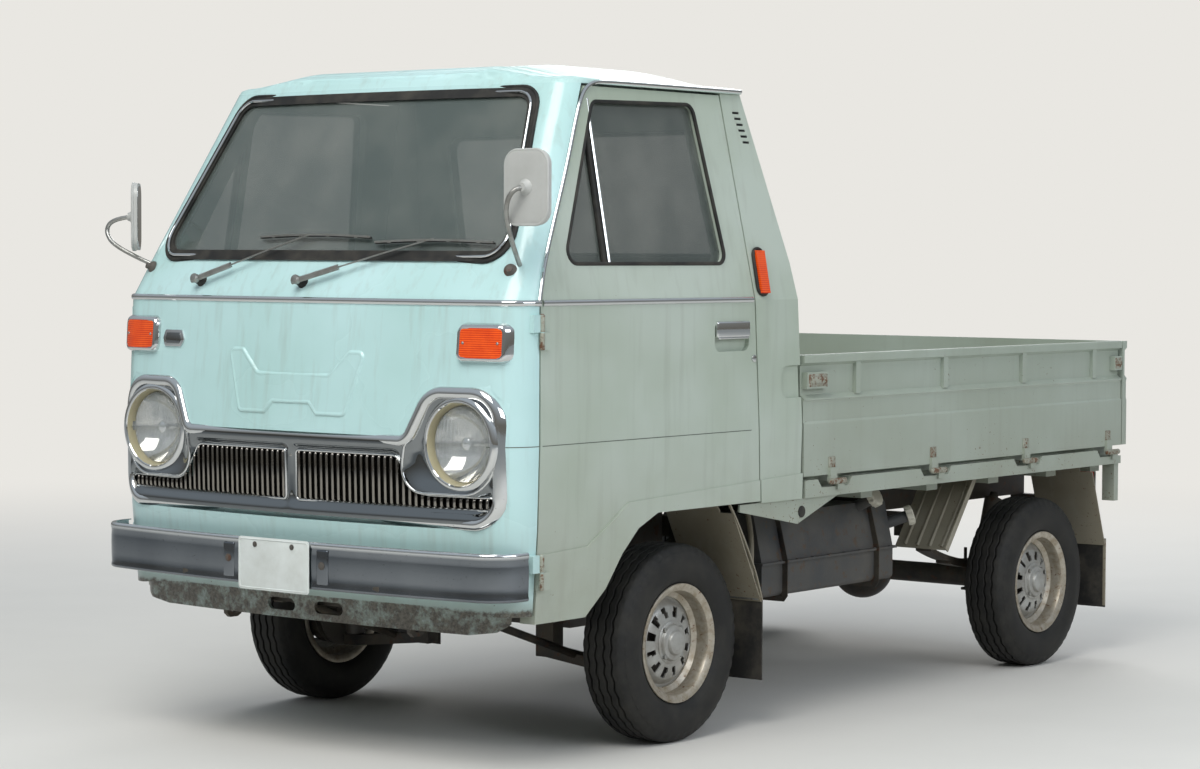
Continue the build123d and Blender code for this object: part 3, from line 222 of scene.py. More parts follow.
def old_enamel(name, fresh, faded, grime, rust_from, rough, scale_z=0.0, behind=None, coat=0.35):
    """Air-dried enamel on pressed steel: gloss with chalky patches, road dust low down, rust specks and runs."""
    material, tree = new_finish(name, Coat_Weight=coat, Coat_Roughness=0.12, Coat_IOR=1.45)
    colour = layered(tree, fresh, (patches(tree, 420, 3, 0.55, 1.0, (0.38, 0.66)), faded))
    if behind:
        # Chalked by the sun behind the roof's shoulder, where it meets the sides' colour
        colour = layered(tree, colour, (below(tree, 0.78, 1.10, "X"), behind))
    # Thin rain runs, stretched down the panels
    runs = patches(tree, 26, 3, 0.6, 4.0, (0.52, 0.72), (1, 1, 0.07))
    dust = weighted(tree, (below(tree, *grime), patches(tree, 160, 5, 0.65, 7.0)))
    # Rust specks, more of them near the lower edges
    zones = patches(tree, 240, 2, 0.5, 3.0)
    specks = patches(tree, 9, 5, 0.7, 2.0)
    chance = weighted(tree, (zones, 0.18), (below(tree, 0.30, 0.70), 0.10), base=specks)
    rust = add_node(tree, "ValToRGB", {"Fac": chance}, stops=between(rust_from, rust_from + 0.035))
    colour = layered(
        tree, colour, (weighted(tree, (runs, 0.22)), "#8E9186"), (weighted(tree, (dust, 0.75)), "#8C8676"),
        (rust, "#5E3A22"))
    if scale_z:
        # Paint lost to brown-black scale under this height, and the enamel there darkened to grey-green: painted shade
        # under the bumper
        mask = weighted(tree, (below(tree, scale_z - 0.02, scale_z + 0.015), 0.42))
        lost = weighted(tree, (patches(tree, 34, 7, 0.7, 9.0), 0.55), base=mask)
        scale = layered(tree, "#352E27", (patches(tree, 9, 6, 0.7, 8.0, (0.4, 0.6)), "#5F5C50"))
        bare = add_node(tree, "ValToRGB", {"Fac": lost}, stops=between(0.60, 0.70))
        colour = layered(tree, colour, (weighted(tree, (mask, 1.4), clamp=True), "#7A8176"), (bare, scale))
    matt = weighted(
        tree, (patches(tree, 300, 3, 0.5, 5.0), 0.22), (dust, 0.3), (rust, 0.4), base=rough - 0.1, clamp=True)
    waves = patches(tree, 110, 2, 0.4, 6.0)
    dress(tree, colour, matt, weighted(tree, (waves, 0.6), (rust, 0.25)), 1.1, 0.5)
    return material


def lamp_silver(name):
    """Silvered bowl: mirror bright, with a painted reflection: lighter below, darker above as if throwing back the
    ground.
    """
    material, tree = new_finish(name, Metallic=1.0, Roughness=0.08)
    patchy_reflection = patches(tree, 42, 2, 0.5, 2.0, (0.38, 0.60))
    # Painted reflection: bright below 0.70 m, darker above 0.79 m, broken by patches
    share = weighted(tree, (below(tree, 0.70, 0.79), 0.6), (patchy_reflection, 0.4))
    dress(tree, layered(tree, "#7E8284", (share, "#F4F1EA")))
    return material


def fluted_glass(name):
    """Pressed lamp glass: clear, with upright flutes 12.5 mm wide and a few cross bars."""
    material, tree = new_finish(
        name, Base_Color=srgb("#DDE4E6"), Alpha=0.2, Roughness=0.03, IOR=1.5, Specular_IOR_Level=1.0)
    waves = weighted(tree, (ribs(tree, "Z", 42), 0.6), base=ribs(tree, "Y", 12.5))
    dress(tree, height=waves, depth_mm=1.4, strength=0.9)
    material.surface_render_method = "BLENDED"
    return material


def bumper_chrome_with_painted_light(name):
    """Old chrome bar: dark blue-grey face and a brighter top roll, a painted reflection and a painted highlight set by
    height; wiped haze.
    """
    material, tree = new_finish(name, Metallic=1.0)
    haze = patches(tree, 150, 4, 0.6, 1.5, None, (1, 1, 0.5))
    face = layered(tree, "#64696F", (haze, "#8A8F94"))
    pits = patches(tree, 5, 4, 0.6, 2.5, (0.66, 0.70))
    # Painted reflection and highlight: dark blue-grey face below 0.500 m, bright top roll above 0.508 m
    colour = layered(tree, "#D9DCDD", (below(tree, 0.500, 0.508), face), (pits, "#4A4238"))
    dress(tree, colour, weighted(tree, (haze, 0.22), (pits, 0.4), base=0.06))
    return material


def lens_plastic(name, deep, bright, pitch_mm, axis):
    """Moulded acrylic lens: saturated colour with a faint painted glow, gloss face, moulded ribs that show as bump and
    bands.
    """
    material, tree = new_finish(
        name, Roughness=0.12, IOR=1.49, Coat_Weight=0.6, Coat_Roughness=0.05, Emission_Strength=0.12)
    bands = weighted(tree, (ribs(tree, axis, pitch_mm), 0.25), base=0.5)
    share = weighted(tree, (bands, 0.6), (patches(tree, 40, 3, 0.5, 3.0), 0.4))
    colour = add_node(tree, "ValToRGB", {"Fac": share}, stops=((0.3, deep), (0.7, bright)))
    # Painted glow: the lens gives off a little of its own colour though no lamp is lit; the dial needle with this
    # finish glows too
    tree.links.new(colour, tree.nodes["Principled BSDF"].inputs["Emission Color"])
    dress(tree, colour, None, bands, 0.6, 0.5)
    return material


def stitched_vinyl(name):
    """Leather-grained vinyl: soft satin black with a fine pebbled grain, about 3 mm."""
    material, tree = new_finish(name, Sheen_Weight=0.1, Specular_IOR_Level=0.5)
    worn = patches(tree, 150, 4, 0.6, 1.0, (0.4, 0.75))
    place = add_node(tree, "TexCoord", output="Object")
    grain = add_node(tree, "TexVoronoi", {"Vector": place, "Scale": 330.0}, "Distance")
    colour = layered(tree, "#17171A", (weighted(tree, (worn, 0.5)), "#2F2E2E"))
    dress(tree, colour, weighted(tree, (worn, 0.15), base=0.38), grain, 0.5, 0.45)
    return material


def worn_deck(name):
    """Painted deck sheet: enamel scuffed through along the bed to primer, bare steel and rust."""
    material, tree = new_finish(name)
    scratches = patches(tree, 9, 5, 0.65, 1.0, None, (0.06, 1, 1))
    share = weighted(tree, (scratches, 0.5), (patches(tree, 260, 5, 0.6, 2.0), 0.5))
    bare = layered(tree, "#8C8880", (patches(tree, 40, 6, 0.7, 3.0, (0.42, 0.6)), "#5E4431"))
    through = add_node(tree, "ValToRGB", {"Fac": share}, stops=between(0.47, 0.56))
    colour = layered(tree, "#9AA69C", (through, bare))
    dress(tree, colour, weighted(tree, (scratches, 0.3), base=0.4), scratches, 0.4, 0.4)
    return material


# Each finish: how it is made, the material's name and its values; "front" and "side" are the user's colours
FINISHES = {
    "front enamel": (
        old_enamel, "air-dried mint enamel, front", "front", "#B3D6D4", (0.30, 0.60), 0.84, 0.24, 0.392),
    "roof enamel": (
        old_enamel, "air-dried mint enamel, roof", "front", "#B3D6D4", (0.30, 0.60), 0.84, 0.46, 0.0, "#B4C4BB", 0.04),
    "side enamel": (old_enamel, "air-dried mint enamel, sides", "side", "#A3AF9F", (0.34, 0.80), 0.81, 0.30),
    "bed enamel": (old_enamel, "air-dried mint enamel, bed", "#A6B1A6", "#98A294", (0.36, 0.95), 0.76, 0.38),
    "inner enamel": (old_enamel, "air-dried mint enamel, inside", "#8FA39A", "#7E8E84", (0.30, 0.70), 0.80, 0.42),
    # Cream enamel darkened to grey-brown: partly rust and grime, partly painted shade of the guards' faces under the
    # body
    "cream guard": (old_enamel, "air-dried cream enamel", "#8E8A7B", "#6F6654", (0.25, 0.90), 0.775, 0.5),
    "chrome": (worn_chrome, "worn chrome plate"),
    "dark chrome": (worn_chrome, "worn chrome plate, dark", 0.12, "#8E9192"),
    "casting chrome": (worn_chrome, "chromed casting", 0.05, "#84888A"),
    "bar chrome": (worn_chrome, "chromed bars, greyed", 0.16, "#8D8983"),
    "mirror glass": (worn_chrome, "silvered glass", 0.01, "#E3E6E6", "#C8CCCC"),
    "lamp bowl": (lamp_silver, "silvered lamp bowl"),
    "bumper steel": (bumper_chrome_with_painted_light, "dulled chrome bumper"),
    "tyre": (black_rubber, "vulcanised tyre rubber", "#171716", "#56534C", 0.3, 70),
    "rubber": (black_rubber, "extruded black rubber"),
    "flap rubber": (black_rubber, "reinforced rubber sheet", "#232322", "#6E675B", 0.55, 90),
    # Painted shade: near-black finish for the sheet behind the grille's bars and the slots under the louvres
    "dark hollow": (black_rubber, "unlit hollow", "#0B0B0B", "#191817", 0.3),
    "chassis": (chassis_paint, "chassis black"),
    "tank": (chassis_paint, "satin tank enamel", "#3A3C3E", "#6C675E", "#52402F"),
    "cast": (chassis_paint, "sand-cast iron", "#4A4744", "#6E655A", "#553625"),
    "exhaust": (chassis_paint, "scaled exhaust steel", "#5B4A3E", "#7B6C5C", "#5E3218"),
    "wheel silver": (aged_steel, "sprayed wheel silver", "#B2B3B0", "#94918A", 0.08, 0.40, 0.6, 50),
    "wheel lip": (aged_steel, "worn wheel lip", "#BDB7AB", "#978B77", 0.14, 0.34, 0.75, 22),
    "steel": (aged_steel, "zinc-plated steel", "#B0B1AE", "#8A8984", 0.12, 0.33),
    "hinge": (aged_steel, "painted hinge steel", "#A8AC9F", "#857F70", 0.25, 0.5, 0.35),
    "glass": (sheet_glass, "toughened glass", "#5F6A67", 0.52),
    "side glass": (sheet_glass, "toughened side glass", "#5A625F", 0.55),
    "lens": (fluted_glass, "pressed lamp glass"),
    "orange": (lens_plastic, "amber acrylic lens", "#C22D05", "#F0601A", 5.0, "Z"),
    "side orange": (lens_plastic, "amber acrylic lens, side", "#C83A06", "#F1701F", 6.0, "Z"),
    "red": (lens_plastic, "red acrylic lens", "#7A0A08", "#B01612", 6.0, "Y"),
    "plate": (plate_enamel, "embossed plate enamel"),
    "seat": (stitched_vinyl, "black seat vinyl"),
    "dash": (grained_plastic, "dashboard plastic"),
    "hand wheel": (grained_plastic, "steering wheel resin", "#151515", "#232322", 0.34),
    "pale plastic": (grained_plastic, "pale cap plastic", "#C9C6B8", "#A19C8C", 0.5),
    "cream ring": (grained_plastic, "cream lamp ring", "#B9B294", "#9E967A", 0.4),
    "mirror back": (grained_plastic, "grey mirror shell", "#C4C6C4", "#A5A6A2", 0.36),
    "shaded line": (grained_plastic, "grime in a crease", "#5F675F", "#4C524B", 0.6),
    "deck": (worn_deck, "scuffed deck steel"),
}
# The solids that each finish covers
NODE_FINISHES = {
    "front enamel": "cab_front_panel", "roof enamel": "cab_roof", "side enamel": "cab_rear_wall door_left door_right",
    "bed enamel": "gate_left gate_right tailgate bed_floor bed_front_board", "inner enamel": "cab_floor",
    "glass": "cab_glass", "side glass": "door_glass_left door_glass_right", "rubber": "windscreen_seal",
    "chrome": "grille", "bumper steel": "front_bumper", "plate": "number_plates", "orange": "turn_lamps",
    "red": "tail_lamps", "dash": "dashboard", "cream guard": "mudguards", "flap rubber": "mudflaps",
    "tank": "fuel_tank", "cast": "engine_block knuckle_left knuckle_right", "exhaust": "exhaust",
    "chassis": "rear_axle leaf_springs front_suspension frame_rails frame_crossmembers",
    "pale plastic": "filler_caps", "lens": "headlamps", "steel": "wipers", "mirror back": "mirrors", "seat": "seats",
    "hand wheel": "steering_wheel",
    "tyre": "tyre_front_left tyre_front_right tyre_rear_left tyre_rear_right",
    "wheel silver": "rim_front_left rim_front_right rim_rear_left rim_rear_right",
}
# The made materials, by finish
finishes = {}


# The cab's surface, from the part's own table, in millimetres

# Columns: height, nose on the centre line, nose at the side, half width, corner radius
CAB_LEVELS = [
    (310.0, 1412.0, 1374.0, 626.0, 90.0),
    (345.0, 1415.0, 1376.0, 628.0, 90.0),
    (560.0, 1440.0, 1385.0, 642.0, 100.0),
    (755.0, 1446.0, 1389.0, 647.5, 100.0),
    (1075.0, 1408.0, 1367.0, 647.5, 76.0),
    (1165.0, 1358.0, 1312.0, 630.8, 60.0),
    (1600.0, 1118.0, 1071.0, 550.4, 60.0),
    (1700.0, 1063.0, 1016.0, 531.9, 60.0),
]
BODY_HALF = 647.5


def at_height(column, z):
    """Value of one column of the cab table at a height."""
    for low, high in zip(CAB_LEVELS, CAB_LEVELS[1:]):
        if z <= high[0]:
            share = (z - low[0]) / (high[0] - low[0])
            return low[column] + share * (high[column] - low[column])
    return CAB_LEVELS[-1][column]


def side_y(z):
    return at_height(3, z)


def on_side(x, z, sign, out):
    """Point beside the cab's side at a height."""
    return x, sign * (side_y(z) + out), z


def nose_form(z):
    """Nose, sag of its arc, half width and corner radius at a height."""
    return at_height(1, z), at_height(1, z) - at_height(2, z), side_y(z), at_height(4, z)


def nose_arcs(nose, sag, half, corner):
    """Radius and centre of a nose's arc, and the centre of its corner's arc."""
    arc_r = (half ** 2 + sag ** 2) / (2 * sag)
    arc_x = nose - arc_r
    corner_y = half - corner
    return arc_r, arc_x, arc_x + math.sqrt((arc_r - corner) ** 2 - corner_y ** 2), corner_y


def skin_x(y, z, out=0.0):
    """Where the cab's front skin stands, or a surface outside it."""
    form = nose_form(z)
    arc_r, arc_x, corner_x, corner_y = nose_arcs(*form)
    corner = form[-1]
    y = abs(y)
    if y <= corner_y * arc_r / (arc_r - corner):
        return arc_x + math.sqrt((arc_r + out) ** 2 - y ** 2)
    return corner_x + math.sqrt(max((corner + out) ** 2 - (y - corner_y) ** 2, 0.0))


def on_front(y, z, out=0.0):
    """Point on the front skin, or outside it."""
    return Vector((skin_x(y, z, out), y, z))


# Modelling helpers, all of them in millimetres

def clear_selection():
    if bpy.context.mode != "OBJECT":
        bpy.ops.object.mode_set(mode="OBJECT")
    bpy.ops.object.select_all(action="DESELECT")


def take(obj):
    """Select one object alone."""
    clear_selection()
    obj.select_set(True)
    bpy.context.view_layer.objects.active = obj
    return obj


def edit(obj, select="SELECT"):
    """Edit one object alone, with all or none of its mesh selected."""
    take(obj)
    bpy.ops.object.mode_set(mode="EDIT")
    bpy.ops.mesh.select_all(action=select)


def leave_edit():
    bpy.ops.object.mode_set(mode="OBJECT")


def mend_normals(obj, merge_mm=0.01):
    edit(obj)
    bpy.ops.mesh.remove_doubles(threshold=merge_mm * MM)
    bpy.ops.mesh.normals_make_consistent(inside=False)
    leave_edit()
    return obj


def apply_modifier(obj, kind, **settings):
    take(obj)
    modifier = obj.modifiers.new(kind.lower(), kind)
    for key, value in settings.items():
        setattr(modifier, key, value)
    bpy.ops.object.modifier_apply(modifier=modifier.name)
    return obj


def round_edges(obj, radius, segments=2, over_degrees=30):
    """Bevel the edges that are sharper than an angle."""
    return apply_modifier(
        obj, "BEVEL", width=radius * MM, segments=segments, limit_method="ANGLE",
        angle_limit=math.radians(over_degrees))


def bake_place():
    bpy.ops.object.transform_apply(location=True, rotation=True, scale=True)


def settle(obj, finish, body="body", *replaced, smooth=35):
    """Fix a finished piece in its place, with its material and its body."""
    take(obj)
    bake_place()
    obj.data.materials.clear()
    obj.data.materials.append(finishes[finish])
    bpy.ops.object.shade_smooth_by_angle(angle=math.radians(smooth))
    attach(obj, body)
    if replaced:
        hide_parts(*replaced)
    return obj


def join(name, pieces):
    clear_selection()
    for piece in pieces:
        piece.select_set(True)
    bpy.context.view_layer.objects.active = pieces[0]
    bpy.ops.object.join()
    pieces[0].name = name
    pieces[0].data.name = name
    return pieces[0]


def settle_all(name, pieces, finish, body="body"):
    """Join pieces and fix them in their place."""
    return settle(join(name, pieces), finish, body)


def box_piece(name, x, y, z, radius=0.0, segments=2):
    """Box between spans, its edges rounded."""
    clear_selection()
    spans = [sorted(span) for span in (x, y, z)]
    bpy.ops.mesh.primitive_cube_add(size=1, location=[(low + high) / 2 * MM for low, high in spans])
    obj = bpy.context.object
    obj.name = name
    obj.scale = [(high - low) * MM for low, high in spans]
    bake_place()
    return round_edges(obj, radius, segments) if radius else obj


def stand(name, centre, axis):
    """Name the new piece and turn its Z to an axis through a centre."""
    obj = bpy.context.object
    obj.name = name
    obj.rotation_mode = "QUATERNION"
    obj.rotation_quaternion = Vector(axis).to_track_quat("Z", "Y")
    obj.location = Vector(centre) * MM
    bake_place()
    return obj


def disc_piece(name, centre, axis, radius, depth, bevel, sides):
    """Round piece about an axis, its rims rounded."""
    clear_selection()
    bpy.ops.mesh.primitive_cylinder_add(vertices=sides, radius=radius * MM, depth=depth * MM)
    return round_edges(stand(name, centre, axis), bevel, 2, 40)


def turned_piece(name, profile, centre, axis, steps, closed=True):
    """Profile of (along the axis, radius) points, spun about an axis through a centre."""
    clear_selection()
    bpy.ops.mesh.primitive_plane_add(size=MM)
    bpy.ops.object.mode_set(mode="EDIT")
    bpy.ops.mesh.merge(type="CENTER")
    points = [Vector((0, radius, place)) * MM for place, radius in profile]
    bpy.ops.transform.translate(value=points[0])
    if closed:
        points.append(points[0])
    for start, end in zip(points, points[1:]):
        bpy.ops.mesh.extrude_vertices_move(TRANSFORM_OT_translate={"value": end - start})
    bpy.ops.mesh.select_all(action="SELECT")
    bpy.ops.mesh.remove_doubles(threshold=WELD)
    bpy.ops.mesh.spin(steps=steps, angle=TURN, center=(0, 0, 0), axis=(0, 0, 1))
    bpy.ops.mesh.select_all(action="SELECT")
    bpy.ops.mesh.remove_doubles(threshold=WELD)
    bpy.ops.mesh.normals_make_consistent(inside=False)
    leave_edit()
    return stand(name, centre, axis)


def drawn_bar(name, points, section, closed=False, kind="POLY"):
    """Bar of a closed section, (across, up), drawn along points."""
    clear_selection()
    outline = bpy.data.curves.new(name + "_section", "CURVE")
    outline.dimensions = "2D"
    ring = outline.splines.new("POLY")
    ring.points.add(len(section) - 1)
    for point, (across, up) in zip(ring.points, section):
        point.co = (across * MM, up * MM, 0, 1)
    ring.use_cyclic_u = True
    outline_object = bpy.data.objects.new(name + "_section", outline)
    bpy.context.collection.objects.link(outline_object)
    path = bpy.data.curves.new(name, "CURVE")
    path.dimensions = "3D"
    path.twist_mode = "MINIMUM"
    path.bevel_mode = "OBJECT"
    path.bevel_object = outline_object
    path.use_fill_caps = not closed
    line = path.splines.new(kind)
    line.points.add(len(points) - 1)
    for point, place in zip(line.points, points):
        point.co = (*(Vector(place) * MM), 1)
    line.use_cyclic_u = closed
    if kind == "NURBS":
        line.order_u = 3
        line.use_endpoint_u = not closed
        line.resolution_u = 6
    obj = bpy.data.objects.new(name, path)
    bpy.context.collection.objects.link(obj)
    take(obj)
    bpy.ops.object.convert(target="MESH")
    obj = bpy.context.object
    bpy.data.objects.remove(outline_object)
    return mend_normals(obj)


def circle(radius, sides, centre_a=0.0, centre_b=0.0):
    """Points of a circle, for a round section."""
    angles = [TURN * i / sides for i in range(sides)]
    return [(centre_a + radius * math.cos(angle), centre_b + radius * math.sin(angle)) for angle in angles]


def strip_section(half_across, half_up):
    return [(-half_across, -half_up), (half_across, -half_up), (half_across, half_up), (-half_across, half_up)]


def rounded_outline(corners, radii, steps=6):
    """Closed outline of 2-D corners, each rounded by one radius for all or by its own."""
    points = []
    count = len(corners)
    for index in range(count):
        radius = radii[index] if isinstance(radii, list) else radii
        here = Vector(corners[index])
        before = (Vector(corners[index - 1]) - here).normalized()
        after = (Vector(corners[(index + 1) % count]) - here).normalized()
        half_angle = before.angle(after) / 2
        reach = radius / math.tan(half_angle)
        centre = here + (before + after).normalized() * radius / math.sin(half_angle)
        start = here + before * reach - centre
        sweep = (here + after * reach - centre).angle_signed(start)
        for step in range(steps + 1):
            points.append(tuple(centre + Matrix.Rotation(sweep * step / steps, 2) @ start))
    return points


def rectangle(low_a, high_a, low_b, high_b, radius, steps=6):
    """Rounded rectangle between two spans."""
    return rounded_outline([(low_a, low_b), (high_a, low_b), (high_a, high_b), (low_a, high_b)], radius, steps)


def mesh_piece(name, points, faces, mend=True):
    """Piece of points by their keys and of faces as rows of keys."""
    clear_selection()
    bpy.ops.mesh.primitive_plane_add(size=MM)
    obj = bpy.context.object
    obj.name = name
    mesh = bmesh.new()
    made = {key: mesh.verts.new(Vector(point) * MM) for key, point in points.items()}
    for face in faces:
        mesh.faces.new([made[key] for key in face])
    if mend:
        bmesh.ops.recalc_face_normals(mesh, faces=mesh.faces)
    mesh.to_mesh(obj.data)
    mesh.free()
    return obj


def net_faces(points, steps=0, rows=0):
    """Faces of a net of points by (step, row), where all four are there; a closed way gives its length."""
    faces = []
    for step, row in points:
        after = (step + 1) % steps if steps else step + 1
        above = (row + 1) % rows if rows else row + 1
        corners = [(step, row), (after, row), (after, above), (step, above)]
        if all(corner in points for corner in corners):
            faces.append(corners)
    return faces


def plate_piece(name, outline, place, depth, bevel=0.0):
    """Flat plate of a closed outline; place turns an outline point and a depth into a point."""
    count = len(outline)
    points = {(index, side): place(a, b, side * depth) for side in (0, 1) for index, (a, b) in enumerate(outline)}
    faces = [[(index, 0) for index in range(count)], [(index, 1) for index in reversed(range(count))]]
    for index in range(count):
        after = (index + 1) % count
        faces.append([(index, 0), (index, 1), (after, 1), (after, 0)])
    obj = mesh_piece(name, points, faces)
    return round_edges(obj, bevel, 2, 50) if bevel else obj


def screw_piece(name, centre, axis, radius, height):
    """Domed screw or rivet head."""
    clear_selection()
    bpy.ops.mesh.primitive_uv_sphere_add(segments=16, ring_count=8, radius=radius * MM)
    bpy.context.object.scale = (1, 1, height / radius)
    bpy.ops.object.transform_apply(location=False, rotation=False, scale=True)
    return stand(name, centre, axis)


def bolt_piece(centre, axis, radius, height):
    """Hexagon bolt head on a washer."""
    direction = Vector(axis).normalized()
    head = disc_piece("bolt_head", Vector(centre) + direction * (height / 2 + 1), axis, radius, height, 0.8, 6)
    washer = disc_piece("bolt_washer", Vector(centre) + direction * 0.6, axis, radius * 1.35, 1.2, 0.3, 24)
    return join("bolt", [head, washer])


# Sizes and colours that a user may change

class TruckPaint(bpy.types.PropertyGroup):
    front: FloatVectorProperty(
        name="Front colour", description="Fresher enamel of the cab's front", subtype="COLOR", size=4,
        default=srgb("#BFE0E1"), min=0.0, max=1.0)
    side: FloatVectorProperty(
        name="Side colour", description="Faded enamel of the doors and the bed", subtype="COLOR", size=4,
        default=srgb("#B6C1B7"), min=0.0, max=1.0)


class TruckWheels(bpy.types.PropertyGroup):
    tread_zigzag: FloatProperty(
        name="Tread zigzag", description="Sideways reach of the zigzag grooves", default=0.0026, unit="LENGTH")
    slot_count: IntProperty(name="Rim slots", description="Slots round each wheel disc", default=12, min=4, max=24)


class TRUCK_OT_finishes(bpy.types.Operator):
    """Make the materials and give one to every solid of the part"""
    bl_idname = "truck.finishes"
    bl_label = "Finishes"

    def execute(self, context):
        paint = context.scene.truck_paint
        for key, (maker, name, *values) in FINISHES.items():
            finishes[key] = maker(
                name, *(tuple(getattr(paint, value)) if value in ("front", "side") else value for value in values))
        # Plain light print of the dials, read through a dull glass
        finishes["gauge"] = new_finish("printed gauge face", Roughness=0.35)[0]
        for finish, names in NODE_FINISHES.items():
            for name in names.split():
                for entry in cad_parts[name].material_slots:
                    entry.material = finishes[finish]
        return {"FINISHED"}


# Wheels

WHEEL_Y, AXLE_Z, TYRE_R = 557.0, 243.0, 243.0
WHEELS = [(end + side, x, out) for end, x in (("front_", 720.0), ("rear_", -1040.0)) for side, out in SIDES.items()]
TREAD_STEPS = 144
# Where the zigzag and the shoulder's lugs are, by radius and by distance across, in metres
ZIGZAG_FROM, ZIGZAG_HALF = 0.2325, 0.0455
LUG_RADII, LUG_ACROSS, LUG_DEPTH = (0.2215, 0.2365), (0.054, 0.0615), 0.0035
SLOT_RADII, SLOT_SHARES = (0.060, 0.0885), (0.3125, 0.6875)
# Turned pieces of a rim, as (along the axle, radius)
BARREL = [
    (58.0, 142), (58.2, 145.2), (56.5, 146.4), (53.5, 145.6), (52, 142), (51.5, 131), (48, 128.4), (20, 128),
    (12, 114), (-12, 114), (-20, 128), (-48, 128.4), (-51.5, 131), (-52, 142), (-54, 146), (-57, 145.2),
    (-57, 142), (-53.6, 130), (-50, 125.8), (-22, 125), (-14, 111), (11, 111), (19, 123.5), (38, 125), (47, 125.8),
    (52, 128), (54.5, 133),
]
DISC = [
    (18, 124.2), (9, 119), (6, 112), (8, 104), (15, 98), (21, 93), (24.5, 89), (28, 76), (30.5, 62), (31.5, 58),
    (32.5, 52),
]
HUB_STEPS = [
    (29, 53), (33.5, 53), (35, 51.5), (36, 46), (38.5, 44.5), (42, 43.5), (43.5, 42), (44.5, 33), (45.5, 31),
    (51.5, 29.5), (53.6, 27.5), (54.6, 22), (55.4, 12), (55.6, 0.02), (29, 0.02),
]
DRUM = [(2, 40), (-2, 84), (-4, 90), (-8, 92.5), (-30, 92.5), (-32, 95), (-43, 95), (-43, 20), (2, 20)]


def tyre_profile():
    """Half-closed section of the tyre: along the axle and radius."""
    right = [
        (50.5, 129.8), (51, 144), (55, 149), (61, 156), (66, 168), (69, 180), (69.6, 190), (68.6, 203), (66, 214),
        (63, 222), (60.5, 225.5), (58.5, 230), (55, 235.5), (50, 239.5),
    ]
    grooves = []
    for middle in (34, 12, -12, -34):
        top = TYRE_R - 1.2 * (middle / 50) ** 2
        for across, deep in ((4.4, 0), (3, 0.8), (2.2, 7), (-2.2, 7), (-3, 0.8), (-4.4, 0)):
            grooves.append((middle + across, top - deep))
    return right + grooves + [(-across, radius) for across, radius in reversed(right)]


def about_axle(point, centre_x):
    """Radius and turn of a point about an axle, in metres and turns, and its arm."""
    arm = Vector(point) - Vector((centre_x, 0, AXLE_Z)) * MM
    return math.hypot(arm.x, arm.z), math.atan2(arm.z, arm.x) / TURN, arm


def make_tyre(name, centre_x, out):
    centre = (centre_x, out * WHEEL_Y, AXLE_Z)
    obj = turned_piece("tyre_" + name + "_dressed", tyre_profile(), centre, (0, out, 0), TREAD_STEPS)
    zigzag = bpy.context.scene.truck_wheels.tread_zigzag
    for vertex in obj.data.vertices:
        across = abs(vertex.co.y - out * WHEEL_Y * MM)
        radius, turn, arm = about_axle(vertex.co, centre_x)
        step = round(turn * TREAD_STEPS)
        if radius > ZIGZAG_FROM and across < ZIGZAG_HALF:
            vertex.co.y += zigzag * (0, 1, 0, -1)[step % 4]
        elif LUG_RADII[0] < radius < LUG_RADII[1] and LUG_ACROSS[0] < across < LUG_ACROSS[1] and step % 3 == 0:
            vertex.co.x -= arm.x * LUG_DEPTH / radius
            vertex.co.z -= arm.z * LUG_DEPTH / radius
    settle(obj, "tyre", name + "_wheel", "tyre_" + name, smooth=28)


def cut_slots(disc, centre_x, slots):
    """Open the radial slots between two radii."""
    edit(disc, "DESELECT")
    bpy.ops.mesh.select_mode(type="FACE")
    leave_edit()
    for polygon in disc.data.polygons:
        radius, turn, _ = about_axle(polygon.center, centre_x)
        polygon.select = SLOT_RADII[0] < radius < SLOT_RADII[1] and SLOT_SHARES[0] < turn * slots % 1.0 < SLOT_SHARES[1]
    bpy.ops.object.mode_set(mode="EDIT")
    bpy.ops.mesh.delete(type="FACE")
    bpy.ops.mesh.select_mode(type="VERT")
    leave_edit()


def face_outwards(obj, out):
    """Turn an open disc's faces towards the outside of the truck."""
    if sum(polygon.normal.y * polygon.area for polygon in obj.data.polygons) * out < 0:
        edit(obj)
        bpy.ops.mesh.flip_normals()
        leave_edit()


def make_rim(name, centre_x, out):
    """Rolled rim with its lip and groove, a slotted disc and a stepped hub with a cap."""
    place = ((centre_x, out * WHEEL_Y, AXLE_Z), (0, out, 0))
    body = name + "_wheel"
    slots = bpy.context.scene.truck_wheels.slot_count
    settle(turned_piece("rim_" + name + "_barrel", BARREL, *place, 72), "wheel lip", body)
    disc = turned_piece("rim_" + name + "_disc", DISC, *place, slots * 8, closed=False)
    cut_slots(disc, centre_x, slots)
    mend_normals(disc)
    face_outwards(disc, out)
    settle(apply_modifier(disc, "SOLIDIFY", thickness=3.6 * MM, offset=-1.0), "wheel silver", body)
    settle(turned_piece("rim_" + name + "_hub", HUB_STEPS, *place, 48), "wheel silver", body, "rim_" + name)
    settle(turned_piece("rim_" + name + "_drum", DRUM, *place, 48), "cast", body)
    nuts = []
    for x, z in circle(46, 4):
        arm = Matrix.Rotation(TURN / 8, 2) @ Vector((x, z))
        nuts.append(disc_piece("nut", Vector(place[0]) + Vector((arm.x, out * 37.5, arm.y)), place[1], 6.5, 9, 1.2, 6))
    settle_all("rim_" + name + "_nuts", nuts, "steel", body)


class TRUCK_OT_wheels(bpy.types.Operator):
    """Make the four tyres and rims"""
    bl_idname = "truck.wheels"
    bl_label = "Wheels"

    def execute(self, context):
        for wheel in WHEELS:
            make_tyre(*wheel)
            make_rim(*wheel)
        return {"FINISHED"}


# Front of the cab

BELT_Z = 1076.0
BELT_SECTION = [(-1, -7.5), (1.5, -7), (4, -5), (5, -2), (5.2, 1), (4.4, 4), (2.4, 6.5), (-1, 7.5)]
